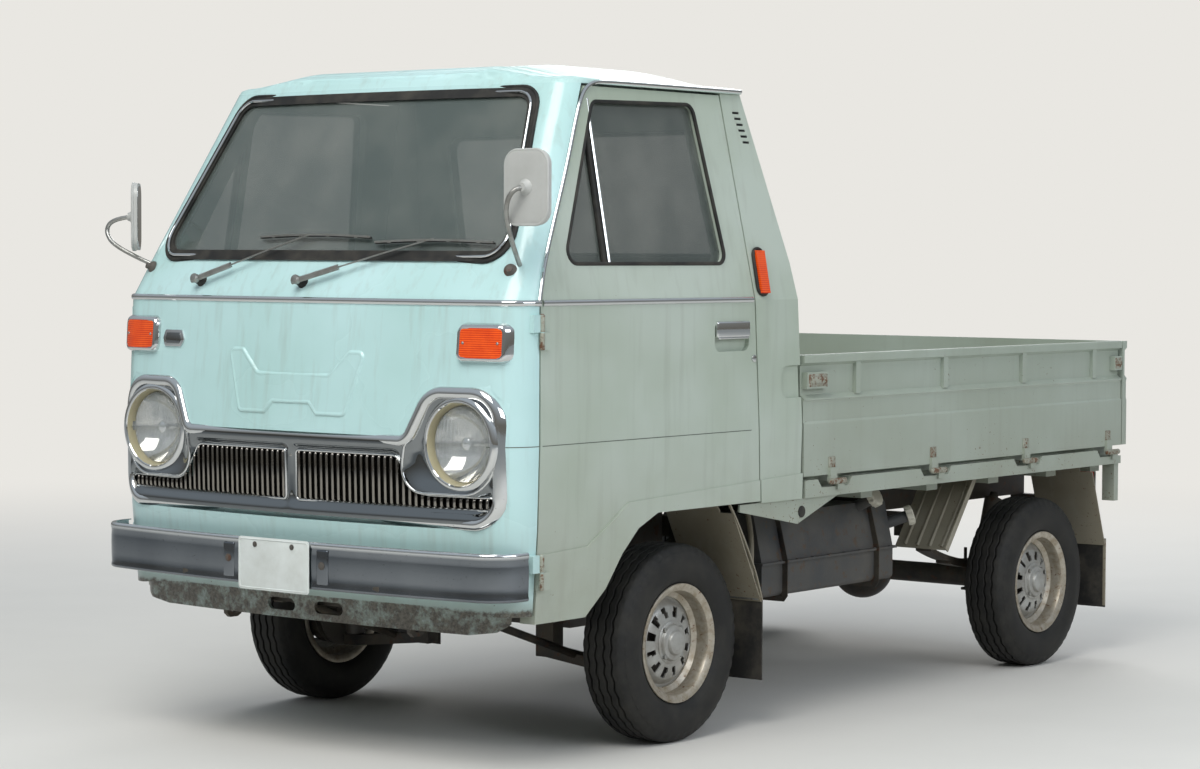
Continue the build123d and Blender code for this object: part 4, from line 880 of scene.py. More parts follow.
# Where the strips round the nose end, and how many points of their plan lie on one corner
STRIP_END_X, CORNER_POINTS = 1301, 13
CREASE_Z = 752.0
CREASE_SECTION = [(0.2, -1.0), (0.3, 1.0)]
GRILLE_HALF = [(560, 562), (612, 620), (612, 850), (575, 884), (430, 884), (385, 850), (345, 768)]
LAMP_Y, LAMP_Z, LAMP_R = 496.0, 755.0, 89.0
TURN_Y = (497.0, 610.0)
TURN_Z = (952.0, 1020.0)
# Centre line of the bright bead, the bars' opening, the lamp's dish and the raised pressing, with their radii
BEAD_HALF = ([(599, 574), (599, 871), (411, 871), (356, 757)], [62, 70, 60, 34])
BARS_HALF = ([(17, 606), (588, 606), (588, 636), (385, 636), (322, 724), (17, 724)], [9, 14, 12, 54, 26, 9])
DISH_HALF = ([(336, 640), (594, 640), (594, 866), (412, 866), (352, 742)], [58, 84, 68, 58, 40])
PRESSING_HALF = ([(60, 837), (84, 811), (171, 811), (218, 957), (173, 957), (117, 901)], [9, 9, 14, 12, 10, 24])
CASTING_STEP, CASTING_COLUMNS, CASTING_ROWS, CASTING_LOW = 4.0, 151, 76, 570
RECESS_OUT = -18.5
DISH_X = 1403.0
BAR_PITCH, BAR_COUNT = 17.5, 32
BAR_SECTION = [
    (-4.0, -18), (-4.0, -10), (-3.2, -7.4), (-1.6, -5.8), (0, -5.2), (1.6, -5.8), (3.2, -7.4), (4.0, -10), (4.0, -18)]
BEAD_SECTION = [
    (-15, -14), (15, -14), (15, -1), (13.5, 3), (10, 6.4), (5, 8.6), (0, 9.2), (-5, 8.2), (-10, 4.6), (-14, -1)]
BACKING_FOOT_Z, BACKING_HALF = 640, 360
# Columns: piece, its solid, steps, finish, smooth angle, profile of (forward, radius)
LAMP_PARTS = [
    ("lens", ["headlamps"], 96, "lens", 50, [
        (1388, 88), (1391, 84), (1395.5, 70), (1399.5, 50), (1402.5, 28), (1403.8, 0.01), (1401.2, 0.01), (1399.8, 28),
        (1396.8, 50), (1392.8, 70), (1388, 83), (1384, 87)]),
    ("bowl", [], 64, "lamp bowl", 50, [
        (1386, 87), (1376, 80), (1360, 66), (1346, 48), (1338, 30), (1335, 14), (1334.5, 0.01), (1332, 0.01),
        (1333, 16), (1336, 33), (1344, 51), (1358, 69), (1374, 83), (1384, 89)]),
    ("shield", [], 32, "chrome", 35, [
        (1370, 15), (1380, 14), (1384, 8), (1385, 0.01), (1336, 0.01), (1336, 6), (1368, 7)]),
    ("ring", [], 72, "cream ring", 35, [
        (1384, 89), (1392, 89.8), (1403, 92.2), (1406, 93.6), (1406.5, 95), (1400, 96), (1384, 95)]),
    ("bezel", [], 72, "chrome", 35, [
        (1399, 94.5), (1407, 94.5), (1409.5, 96.5), (1410, 100), (1408, 105), (1404.5, 109), (1398, 110.5)]),
]
# Nose, sag, half width and corner of the bumper, where its ends are, and its section of (out, height)
BUMPER_FORM = (1493.5, 52.0, 655.0, 88.0)
BUMPER_END_X = 1345.0
BUMPER_SECTION = [
    (-12, 405.0), (-6, 404.4), (-3, 405.2), (-1.0, 408), (-1.2, 412), (-2.6, 417), (-1.6, 440), (-1.2, 462),
    (-1.6, 484), (-2.4, 498), (-0.8, 503), (0.0, 508), (-1.0, 512.5), (-3.6, 515.2), (-8, 515.8), (-12, 515.4),
]
BUMPER_BOLT_Y, RAIL_Y = 152, 300.0
# Columns: piece, outline, radius, steps, out, depth, bevel, finish
PLAQUE_PARTS = [
    ("nose_plaque", [(-462, 957), (-400, 957), (-388, 974), (-400, 998), (-462, 998), (-470, 977)], 6, 4, -0.5, 4.5,
     1.2, "chrome"),
    ("nose_plaque_field", [(-455, 964), (-406, 964), (-399, 975), (-406, 991), (-455, 991), (-460, 977)], 4, 3, 3.6,
     1.2, 0.5, "dark chrome"),
]


def mirrored(half):
    return half + [(-y, z) for y, z in reversed(half)]


def whole_outline(half, radii, steps):
    """Rounded outline of a half and its mirror image."""
    return rounded_outline(mirrored(half), radii + radii[::-1], steps)


def inside_distance(outline, y, z):
    """Distance from a closed outline, above zero inside it and below zero outside."""
    nearest = math.inf
    inside = False
    for index in range(len(outline)):
        y0, z0 = outline[index - 1]
        y1, z1 = outline[index]
        run_y, run_z = y1 - y0, z1 - z0
        length = run_y * run_y + run_z * run_z
        if length:
            share = min(max(((y - y0) * run_y + (z - z0) * run_z) / length, 0.0), 1.0)
            nearest = min(nearest, math.hypot(y0 + share * run_y - y, z0 + share * run_z - z))
        if (z0 > z) != (z1 > z) and y < y0 + (z - z0) * run_y / run_z:
            inside = not inside
    return nearest if inside else -nearest


def smooth_share(value):
    value = min(max(value, 0.0), 1.0)
    return value * value * (3 - 2 * value)


def front_band(name, outline, section, closed=True):
    """Band along a closed outline on the cab's front; section points are (across, out)."""
    points = {}
    count = len(outline)
    for row, here in enumerate(outline):
        run = (Vector(outline[(row + 1) % count]) - Vector(outline[row - 1])).normalized()
        across = Vector((run.y, -run.x))
        for step, (side, out) in enumerate(section):
            points[step, row] = on_front(*(Vector(here) + across * side), out)
    return mesh_piece(name, points, net_faces(points, len(section) if closed else 0, count))


def casting_x(y, z, bead, bars, dish):
    """Where the chrome casting stands, or None where there is no metal."""
    edge = inside_distance(bead, y, z)
    opening = -inside_distance(bars, y, z)
    bowl = inside_distance(dish, y, z)
    reach = math.hypot(y - LAMP_Y, z - LAMP_Z) - LAMP_R - 10
    if edge <= -3 or opening <= -2 or reach <= -4:
        return None
    if bowl > 0:
        share = smooth_share(bowl / (bowl + max(reach, 0.0) + 0.01)) ** 0.8
        return max((1 - share) * skin_x(y, z, 2) + share * DISH_X, skin_x(y, z, RECESS_OUT))
    share = smooth_share((edge - 10) / (max(edge - 10, 0) + max(opening, 0) + 0.01))
    near_dish = 1 - smooth_share(-bowl / 22)
    return skin_x(y, z, (5 - 15 * share) * (1 - near_dish) + 1.5 * near_dish)


def make_casting(bars, dish):
    """Chrome casting between the bead, the bars and the lamps: a height field over the front."""
    bead = whole_outline(*BEAD_HALF, 8)
    points = {}
    for column in range(CASTING_COLUMNS + 1):
        for row in range(CASTING_ROWS + 1):
            y, z = column * CASTING_STEP, CASTING_LOW + row * CASTING_STEP
            x = casting_x(y, z, bead, bars, dish)
            if x is not None:
                points[column, row] = (x, y, z)
                points[-column, row] = (x, -y, z)
    casting = mesh_piece("grille_casting", points, net_faces(points), mend=False)
    settle(casting, "casting chrome", "body", "grille", smooth=60)


def make_bars(opening):
    """Upright chrome bars, rounded in front, inside the two openings."""
    points = {}
    for sign in SIDES.values():
        for index in range(BAR_COUNT):
            y = 26 + index * BAR_PITCH
            inside = [z for z in range(600, 730, 2) if inside_distance(opening, y, z) > 0]
            if not inside:
                continue
            low, high = inside[0] - 1, inside[-1] + 1
            first = len(points)
            for row, (z, dip) in enumerate(
                    ((low, 6), (low + 3, 1.5), (low + 7, 0), (high - 7, 0), (high - 3, 1.5), (high, 6))):
                for step, (side, out) in enumerate(BAR_SECTION):
                    points[step, first + row] = on_front(sign * (y + side), z, max(out - dip, RECESS_OUT))
    settle(mesh_piece("grille_bars", points, net_faces(points)), "bar chrome", smooth=50)


def make_hollow_shade():
    """Black sheet behind the bars, just in front of the recess floor: painted shade of the grille's hollow."""
    points = {}
    for y in range(-600, 601, 20):
        for row, z in enumerate((596, BACKING_FOOT_Z, 690, 734)):
            if z <= BACKING_FOOT_Z or -BACKING_HALF < y <= BACKING_HALF:
                points[y // 20, row] = on_front(y, z, -19.0)
    settle(mesh_piece("grille_backing", points, net_faces(points)), "dark hollow")


def make_grille():
    bars = rounded_outline(*BARS_HALF, 5)
    dish = rounded_outline(*DISH_HALF, 8)
    make_casting(bars, dish)
    make_bars(bars)
    settle(front_band("grille_bead", whole_outline(*BEAD_HALF, 12), BEAD_SECTION), "chrome", smooth=60)
    for name, sign in SIDES.items():
        for piece, outline, section in (
                ("bars_frame_", bars, circle(3.0, 10, 0, -9)), ("dish_edge_", dish, circle(3.0, 10, 0, 1.5))):
            if outline is dish:
                section = [(side * 1.1, out) for side, out in section]
            band = front_band(piece + name, [(sign * y, z) for y, z in outline], section)
            settle(band, "chrome", smooth=60)
    # Enamel lip that carries the panel up to the bead round the corners
    lip = front_band("grille_lip", mirrored(GRILLE_HALF), [(-20, 0.2), (0, 0.7), (5, 0.5), (11, -0.6)], closed=False)
    settle(lip, "front enamel", smooth=60)
    # Rounded edge of the raised pressing over the grille
    ridge = [(7, -0.8), (4.5, 0.5), (2.8, 2.6), (1, 4.0), (-1.5, 4.3), (-4, 3.4), (-8, 2.6)]
    edge = front_band("pressing_edge", whole_outline(*PRESSING_HALF, 5), ridge, closed=False)
    settle(edge, "front enamel", smooth=70)
    make_hollow_shade()
    screws = [screw_piece("post_screw", on_front(0, z, -9), (1, 0, 0), 5.5, 3.0) for z in (712, 618)]
    settle_all("grille_screws", screws, "steel")


def make_headlamp(name, sign):
    for part, solid, steps, finish, smooth, profile in LAMP_PARTS:
        piece = turned_piece("headlamp_" + part + "_" + name, profile, (0, sign * LAMP_Y, LAMP_Z), (1, 0, 0), steps)
        settle(piece, finish, "body", *solid, smooth=smooth)


def bent_plan(form, end_x):
    """Plan of a strip round the nose: points and the angle that each one faces."""
    arc_r, arc_x, corner_x, corner_y = nose_arcs(*form)
    half_width, corner = form[2:]
    limit = math.atan2(corner_y, corner_x - arc_x)
    half = []
    for centre_x, centre_y, radius, first, last, steps in (
            (arc_x, 0.0, arc_r, 0.0, limit, 24), (corner_x, corner_y, corner, limit, math.pi / 2, 12)):
        for step in range(1 if half else 0, steps + 1):
            angle = first + (last - first) * step / steps
            place = Vector((centre_x + radius * math.cos(angle), centre_y + radius * math.sin(angle)))
            half.append((place, angle))
    half.append((Vector((end_x, half_width)), math.pi / 2))
    return flipped(half)[:-1] + half


def flipped(plan):
    """Plan of the other side, from its far end."""
    return [(Vector((place.x, -place.y)), -angle) for place, angle in plan[::-1]]


def bent_strip(name, plan, section, low_z=0.0):
    """Strip with an open section of (out, height) points along a plan."""
    points = {}
    for row, (place, angle) in enumerate(plan):
        face = Vector((math.cos(angle), math.sin(angle)))
        for step, (out, up) in enumerate(section):
            points[step, row] = (*(place + face * out), low_z + up)
    return mesh_piece(name, points, net_faces(points))


def make_front_trims():
    # Rubber lip of the windscreen and the bright strip in it
    for name, half, radius, out, thick, finish in (
            ("windscreen_insert", [(563, 1181), (471, 1568)], 50, 9.5, 3.6, "chrome"),
            ("windscreen_lip", [(577, 1169), (481, 1580)], 60, 3.0, 4.6, "rubber")):
        path = [on_front(y, z, out) for y, z in rounded_outline(mirrored(half), radius, 8)]
        settle(drawn_bar(name, path, circle(thick, 10), closed=True), finish)
    # Belt strip round the nose and a thin dark line of painted shade at the crease under it, on the corners alone
    belt = bent_plan(nose_form(BELT_Z), STRIP_END_X)
    settle(bent_strip("belt_strip_front", belt, BELT_SECTION, BELT_Z), "chrome", smooth=60)
    crease = bent_plan(nose_form(CREASE_Z), STRIP_END_X)[:CORNER_POINTS]
    for name, plan in (("crease_front", crease), ("crease_front_left", flipped(crease))):
        settle(bent_strip(name, plan, CREASE_SECTION, CREASE_Z), "shaded line", smooth=60)


def make_drip_strips():
    for name, sign in SIDES.items():
        run = [(1303, 1082), (1292, 1108), (1266, 1168), (1208, 1268), (1137, 1388), (1062, 1530)]
        gutter = [(1032, 1572), (1000, 1590), (960, 1594), (700, 1594.5), (399, 1594.5)]
        path = [on_side(x, z, sign, 2.5) for x, z in run]
        path += [(x, sign * (side_y(1588) + 6), z) for x, z in gutter]
        settle(drawn_bar("drip_strip_" + name, path, circle(5.0, 10), kind="NURBS"), "chrome")


def make_turn_lamp_frames():
    frames, screws, bases = [], [], []
    section = [(-6.5, 13), (-4.5, 15.4), (-1, 16), (3, 14), (6, 9), (8, 3), (9, -1), (-6.5, -1)]
    outline = rectangle(TURN_Y[0] - 3, TURN_Y[1] + 3, TURN_Z[0] - 3, TURN_Z[1] + 3, 13)
    for sign in SIDES.values():
        frames.append(front_band(
            "turn_frame", [(sign * y, z) for y, z in outline], [(side * sign, out) for side, out in section]))
        for y in (TURN_Y[0] + 11, TURN_Y[1] - 11):
            screws.append(screw_piece("turn_screw", on_front(sign * y, 986, 15.5), (1, 0.1 * sign, 0.05), 3.4, 2.2))
    settle_all("turn_lamp_frames", frames, "chrome")
    settle_all("turn_lamp_screws", screws, "steel")
    for sign in SIDES.values():
        path = [on_side(x, z, sign, 3.5) for x, z in rectangle(400, 442, 1088, 1202, 19)]
        bases.append(drawn_bar("side_base", path, circle(4.5, 10), closed=True))
    settle_all("side_lamp_frames", bases, "rubber")


def make_plaque():
    """Small blank chrome plaque on the nose, to the truck's right."""
    for name, corners, radius, steps, out, depth, bevel, finish in PLAQUE_PARTS:
        outline = rounded_outline(corners, radius, steps)
        settle(plate_piece(name, outline, lambda y, z, d: on_front(y, z, out + d), depth, bevel), finish)


def make_plates():
    """Blank plates with rounded corners and a pressed edge, on the solids' places."""
    for name, low_z, face_x, turn in (("front", 392.0, 1493.8, 1), ("rear", 410.0, -1451.8, -1)):
        outline = rectangle(-115, 115, low_z, low_z + 125, 9, 5)
        base = plate_piece("plate_" + name, outline, lambda y, z, d: (face_x + turn * d, y, z), 1.6, 0.5)
        settle(base, "plate", "body", "number_plates")
        path = [(face_x + turn * 1.5, y, z) for y, z in rectangle(-110, 110, low_z + 5, low_z + 120, 7, 5)]
        settle(drawn_bar("plate_rim_" + name, path, circle(1.6, 8), closed=True), "plate")
        bolts = [bolt_piece((face_x + turn * 1.6, y, low_z + 108), (turn, 0, 0), 5.0, 2.4) for y in (-60, 60)]
        settle_all("plate_bolts_" + name, bolts, "cast")


def make_bumper():
    bar = bent_strip("bumper_bar", bent_plan(BUMPER_FORM, BUMPER_END_X), BUMPER_SECTION)
    apply_modifier(bar, "SOLIDIFY", thickness=2 * MM, offset=-1.0)
    settle(bar, "bumper steel", "body", "front_bumper", smooth=50)
    arc_r, arc_x = nose_arcs(*BUMPER_FORM)[:2]
    face_x = arc_x + math.sqrt(arc_r ** 2 - BUMPER_BOLT_Y ** 2) + 1.2
    bolts, straps, brackets = [], [], []
    for sign in SIDES.values():
        bolts.append(bolt_piece((face_x, sign * BUMPER_BOLT_Y, 462), (1, 0, 0), 7, 1.6))
        straps.append(box_piece("strap", (1476, face_x), (sign * 134, sign * 170), (417, 499), 3.5, 3))
        rail = (sign * (RAIL_Y - 20), sign * (RAIL_Y + 20))
        brackets.append(box_piece("bracket", (1362.3, 1480), rail, (410, 425), 2))
    settle_all("bumper_bolts", bolts, "cast")
    settle_all("bumper_straps", straps, "bumper steel")
    settle_all("bumper_brackets", brackets, "chassis")


class TRUCK_OT_front(bpy.types.Operator):
    """Make the grille's beads, the headlamps, trims, lamp frames, plates and bumper details"""
    bl_idname = "truck.front"
    bl_label = "Front"

    def execute(self, context):
        make_grille()
        for name, sign in SIDES.items():
            make_headlamp(name, sign)
        make_front_trims()
        make_drip_strips()
        make_turn_lamp_frames()
        make_plaque()
        make_plates()
        make_bumper()
        return {"FINISHED"}


# Roof and rear window

# Half breadth of the roof's flat top and of its edge, heights of the seam and of the top, and the drop of the edge
ROOF_FLAT_Y, ROOF_EDGE_Y = 270.0, 500.0
ROOF_SEAM_Z, ROOF_EDGE_Z = 1597.0, 1642.0
ROOF_ROLL = 36.0
# Rear window by (y, z) and the wall's lean by (z, x)
REAR_WINDOW = [(450, 1180), (420, 1500)]
REAR_WALL = ((1180.0, 285.1), (1500.0, 371.9))


def make_roof():
    """The roof's pressing, its sides and front corners rolled down to the gutters; the seam stays where it is."""
    roof = bpy.data.objects.new("rolled_roof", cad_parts["cab_roof"].data.copy())
    bpy.context.scene.collection.objects.link(roof)
    mend_normals(roof, 0.02)
    cuts = [((x, 0, 0), (1, 0, 0)) for x in range(1000, 1160, 20)]
    cuts += [((0, sign * y, 0), (0, 1, 0)) for sign in SIDES.values() for y in range(280, 550, 20)]
    edit(roof)
    for place, normal in cuts:
        bpy.ops.mesh.select_all(action="SELECT")
        bpy.ops.mesh.bisect(plane_co=Vector(place) * MM, plane_no=normal)
    leave_edit()
    for vertex in roof.data.vertices:
        across = smooth_share((abs(vertex.co.y) / MM - ROOF_FLAT_Y) / (ROOF_EDGE_Y - ROOF_FLAT_Y))
        up = min(max((vertex.co.z / MM - ROOF_SEAM_Z) / (ROOF_EDGE_Z - ROOF_SEAM_Z), 0.0), 1.0)
        vertex.co.z -= ROOF_ROLL * MM * across * up
    settle(roof, "roof enamel", "body", "cab_roof", smooth=30)


def make_rear_seal():
    """Rubber round the rear window, half sunk in the wall."""
    (low_z, low_x), (high_z, high_x) = REAR_WALL
    lean = (high_x - low_x) / (high_z - low_z)
    path = [(low_x + lean * (z - low_z), y, z) for y, z in rounded_outline(mirrored(REAR_WINDOW), 50.0, 8)]
    settle(drawn_bar("rear_window_seal", path, circle(9.0, 12), closed=True), "rubber", smooth=60)


class TRUCK_OT_roof(bpy.types.Operator):
    """Make the roof's pressing and the rear window's rubber"""
    bl_idname = "truck.roof"
    bl_label = "Roof"

    def execute(self, context):
        make_roof()
        make_rear_seal()
        return {"FINISHED"}


# Doors

LOUVRE_TOP = (425.0, 1541.0)
LOUVRE_PITCH, LOUVRE_SHIFT = 14.6, 5.4


def make_door_details(name, sign):
    body = name + "_door"
    window = rounded_outline([(1192, 1165), (1004, 1546), (606, 1554), (556, 1165)], 28, 6)
    path = [on_side(x, z, sign, -1.0) for x, z in window]
    settle(drawn_bar("window_rubber_" + name, path, circle(4.8, 10), closed=True), "rubber", body)
    for piece, x, out, radius, finish in (
            ("quarter_bar_", 1019, -6.0, 6.5, "chrome"), ("quarter_rubber_", 1033, -9.0, 7.5, "rubber")):
        path = [on_side(x, z, sign, out) for z in (1162, 1260, 1360, 1460, 1552)]
        settle(drawn_bar(piece + name, path, circle(radius, 10)), finish, body)
    # The crease strips are thin dark lines of painted shade
    for piece, z, ends, section, finish, smooth in (
            ("belt_strip_", BELT_Z, (1291, 466), BELT_SECTION, "chrome", 60),
            ("crease_", CREASE_Z, (1290, 468), CREASE_SECTION, "shaded line", 35)):
        plan = [(Vector((x, sign * side_y(z))), sign * math.pi / 2) for x in ends]
        settle(bent_strip(piece + name, plan, section, z), finish, body, smooth=smooth)
    outer = sign * BODY_HALF
    for piece, x, low, high, z, radius, segments in (
            ("handle_flap_", (485, 623), -3, 8, (984, 1024), 5, 4),
            ("handle_lip_", (490, 618), 2, 7, (980, 986), 2.4, 3)):
        box = box_piece(piece + name, x, (outer + sign * low, outer + sign * high), z, radius, segments)
        settle(box, "chrome", body)
    lock = disc_piece("door_lock_" + name, (462, outer + sign * 1.5, 930), (0, sign, 0), 9, 5, 1.2, 24)
    settle(lock, "chrome", body)


def make_hinges():
    for name, sign in SIDES.items():
        moving, fixed = [], []
        y = sign * 653.6
        for z in (1010, 465):
            for leaves, shift in ((moving, -20.5), (fixed, 20.5)):
                leaves.append(disc_piece("knuckle", (1300, y, z + shift), (0, 0, 1), 6.4, 38, 1.0, 20))
            fixed.append(screw_piece("pin_head", (1300, y, z + 40), (0, 0, 1), 5.0, 3.0))
        settle_all("door_hinge_leaves_" + name, moving, "hinge", name + "_door")
        settle_all("cab_hinge_leaves_" + name, fixed, "hinge")


def make_louvres():
    """Dark slots of painted shade under the pressed louvres of the rear pillars."""
    for name, sign in SIDES.items():
        slots = []
        for index in range(6):
            x = LOUVRE_TOP[0] - LOUVRE_SHIFT * index
            z = LOUVRE_TOP[1] - LOUVRE_PITCH * index
            y = (sign * (side_y(z) - 3), sign * (side_y(z) + 0.9))
            slots.append(box_piece("slot", (x - 13, x + 13), y, (z - 3, z + 2), 1.0))
        settle_all("louvre_slots_" + name, slots, "dark hollow")


class TRUCK_OT_doors(bpy.types.Operator):
    """Make window rubbers, strips, handles and hinges of both doors"""
    bl_idname = "truck.doors"
    bl_label = "Doors"

    def execute(self, context):
        for name, sign in SIDES.items():
            make_door_details(name, sign)
        make_hinges()
        make_louvres()
        return {"FINISHED"}


# Mirrors and wipers

# Columns: name, points of the stalk up to the pad's face, turn of the pad in degrees
MIRROR_ROWS = [
    ("left", [(1298, 592, 1150), (1366, 620, 1205), (1425, 645, 1290), (1425, 672, 1336), (1396, 682, 1336)], 0),
    ("right", [(1298, -592, 1150), (1350, -690, 1195), (1345, -738, 1240), (1340, -712, 1272), (1318, -664, 1276)],
     -48),
]
PAD_HALF_WIDE, PAD_HALF_HIGH, PAD_THICK = 62.0, 84.0, 16.0
# Columns: name, pivot y, pivot z, arm end y, arm end z, blade low y, blade high y, blade z
WIPER_ROWS = [
    ("right", -362.0, 1117.0, -30.0, 1232.0, -200.0, 160.0, 1226.0),
    ("left", -9.0, 1117.0, 350.0, 1222.0, 180.0, 520.0, 1214.0),
]
# How far along the arm its head ends
KNEE_SHARE = 0.32


def pad_outline(inset, radius):
    wide, high = PAD_HALF_WIDE - inset, PAD_HALF_HIGH - inset
    return rectangle(-wide, wide, -high, high, radius, 10)


def make_mirror(name, points, turn):
    facing = Vector((math.cos(math.radians(turn)), math.sin(math.radians(turn)), 0))
    across = Vector((-facing.y, facing.x, 0))
    tip = Vector(points[-1])

    def on_pad(a, b, depth):
        return tip + across * a + Vector((0, 0, b)) - facing * (PAD_THICK - depth)

    shell = plate_piece("mirror_shell_" + name, pad_outline(0, 34), on_pad, 13.5)
    # Crown the back by drawing its face in, ring by ring
    edit(shell, "DESELECT")
    leave_edit()
    max(shell.data.polygons, key=lambda polygon: Vector(polygon.center).dot(facing)).select = True
    bpy.ops.object.mode_set(mode="EDIT")
    for inset, lift in ((3.0, 1.3), (8.0, 1.0), (14.0, 0.5)):
        bpy.ops.mesh.inset(thickness=inset * MM, depth=0)
        bpy.ops.transform.translate(value=facing * lift * MM)
    leave_edit()
    settle(shell, "mirror back", "body", "mirrors", smooth=50)
    path = [on_pad(a, b, 12.0) for a, b in pad_outline(1, 34)]
    settle(drawn_bar("mirror_rim_" + name, path, circle(3.6, 8), closed=True), "mirror back")
    face = plate_piece("mirror_face_" + name, pad_outline(6, 29), lambda a, b, d: on_pad(a, b, d - 0.8), 1.4, 0.4)
    settle(face, "mirror glass")
    boss = [(-3, 19), (1, 18.5), (4, 15), (7, 12), (13, 9.5), (13, 0.01), (-3, 0.01)]
    settle(turned_piece("mirror_boss_" + name, boss, tip, facing, 32), "mirror back")
    settle(drawn_bar("mirror_stalk_" + name, points, circle(5.6, 12), kind="NURBS"), "steel")
    foot_y = points[0][1] * 0.985
    foot = [(-4, 16), (2, 15.5), (6, 12), (9, 8), (16, 7), (16, 0.01), (-4, 0.01)]
    foot_axis = (0.85, math.copysign(0.45, foot_y), 0.3)
    settle(turned_piece("mirror_foot_" + name, foot, on_front(foot_y, 1150), foot_axis, 32), "cast")


def make_wiper(name, pivot_y, pivot_z, end_y, end_z, low_y, high_y, blade_z):
    base = on_front(pivot_y, pivot_z)
    axis = (on_front(pivot_y, pivot_z + 8, 26) - on_front(pivot_y, pivot_z, -4)).normalized()
    pivot = [(-3, 15), (3, 14.5), (6, 12), (20, 10.5), (22, 9), (22, 0.01), (-3, 0.01)]
    settle(turned_piece("wiper_pivot_" + name, pivot, base, axis, 24), "rubber", "body", "wipers")
    cap = [(20, 11), (31, 11), (34, 9), (35, 0.01), (20, 0.01)]
    settle(turned_piece("wiper_cap_" + name, cap, base, axis, 24), "steel")
    start = on_front(pivot_y - 12, pivot_z + 2, 27)
    knee = on_front(pivot_y + (end_y - pivot_y) * KNEE_SHARE, pivot_z + (end_z - pivot_z) * KNEE_SHARE + 4, 24)
    tip = on_front(end_y, end_z, 15)
    places = [low_y + (high_y - low_y) * index / 8 for index in range(9)]
    rise = [blade_z + 5 * math.sin(math.pi * index / 8) for index in range(9)]
    for part, path, section, finish in (
            ("head_", [start, start.lerp(knee, 0.5), knee],
             [(-3, -6.5), (-3, 6.5), (2, 6.5), (4.5, 4), (4.5, -4), (2, -6.5)], "steel"),
            ("arm_", [start.lerp(knee, 0.85), knee.lerp(tip, 0.5) + Vector((4, 0, 0)), tip],
             strip_section(2.6, 1.6), "steel"),
            ("spine_", [on_front(y, z, 14) for y, z in zip(places, rise)], strip_section(2, 2.4), "steel"),
            ("blade_", [on_front(y, z - 3, 8) for y, z in zip(places, rise)],
             [(-4, -2.4), (4, -1.2), (4, 1.2), (-4, 2.4)], "rubber")):
        settle(drawn_bar("wiper_" + part + name, path, section), finish)
    clips = []
    for index in (1, 3, 5, 7):
        spans = zip(on_front(places[index], rise[index] - 1, 11), (4, 5, 3.4))
        clips.append(box_piece("clip", *((middle - half, middle + half) for middle, half in spans), 1.2))
    settle_all("wiper_clips_" + name, clips, "steel")


class TRUCK_OT_mirrors_wipers(bpy.types.Operator):
    """Make both mirrors on their stalks and both wipers"""
    bl_idname = "truck.mirrors_wipers"
    bl_label = "Mirrors and wipers"

    def execute(self, context):
        for row in MIRROR_ROWS:
            make_mirror(*row)
        for row in WIPER_ROWS:
            make_wiper(*row)
        return {"FINISHED"}


# Inside of the cab

SEAT_ROWS = {"left": (45, 570), "right": (-570, -45)}
SEAT_CHANNELS = (-0.6, -0.3, 0.0, 0.3, 0.6)
# Breadth and depth of a sewn channel, height of the crown and fall of its edges
CHANNEL_WIDTH, CHANNEL_DEPTH, SEAT_CROWN, SEAT_FALL = 6.0, 5, 8, 9
HUB = Vector((985.0, -330.0, 985.0))
COLUMN_FOOT = Vector((1190.0, -330.0, 455.0))


def padded_block(name, x, y, z, crown_axis, lean=0.0):
    """Cushion: a rounded, crowned closed form with sewn channels."""
    obj = box_piece(name, x, y, z)
    edit(obj)
    bpy.ops.mesh.subdivide(number_cuts=23)
    leave_edit()
    middle = [(low + high) / 2 * MM for low, high in (x, y, z)]
    half = [(high - low) / 2 * MM for low, high in (x, y, z)]
    first, second = [axis for axis in range(3) if axis != crown_axis]
    for vertex in obj.data.vertices:
        share = [(vertex.co[axis] - middle[axis]) / half[axis] for axis in range(3)]
        rise = (1 - share[first] ** 4) * (1 - share[second] ** 4)
        if share[crown_axis] > 0.5:
            grooves = sum(
                math.exp(-((share[1] - channel) * half[1] / MM / CHANNEL_WIDTH) ** 2) for channel in SEAT_CHANNELS)
            vertex.co[crown_axis] += (rise * SEAT_CROWN - (1 - rise) * SEAT_FALL - grooves * CHANNEL_DEPTH) * MM
        else:
            vertex.co[crown_axis] += 2 * (abs(share[first]) ** 5 + abs(share[second]) ** 5) * MM
        for axis, other in ((first, second), (second, first)):
            vertex.co[axis] -= (share[axis] ** 3) * (share[crown_axis] ** 2) * 5 * MM
            vertex.co[axis] += share[axis] * (1 - share[crown_axis] ** 2) * 2.5 * MM * (1 - share[other] ** 4)
        vertex.co.x += lean * (vertex.co.z - middle[2])
    return apply_modifier(obj, "SUBSURF", levels=1, render_levels=1)


def make_seats():
    for name, (low, high) in SEAT_ROWS.items():
        y = (low + 6, high - 6)
        cushion = padded_block("seat_cushion_" + name, (452, 868), y, (704, 796), 2)
        settle(cushion, "seat", "body", "seats", smooth=60)
        back = padded_block("seat_back_" + name, (362, 428), y, (716, 1138), 0, -0.17)
        settle(back, "seat", smooth=60)
        path = [(a, b, 706) for a, b in rectangle(454, 866, low + 8, high - 8, 18)]
        settle(drawn_bar("seat_piping_" + name, path, circle(3.2, 8), closed=True), "seat")


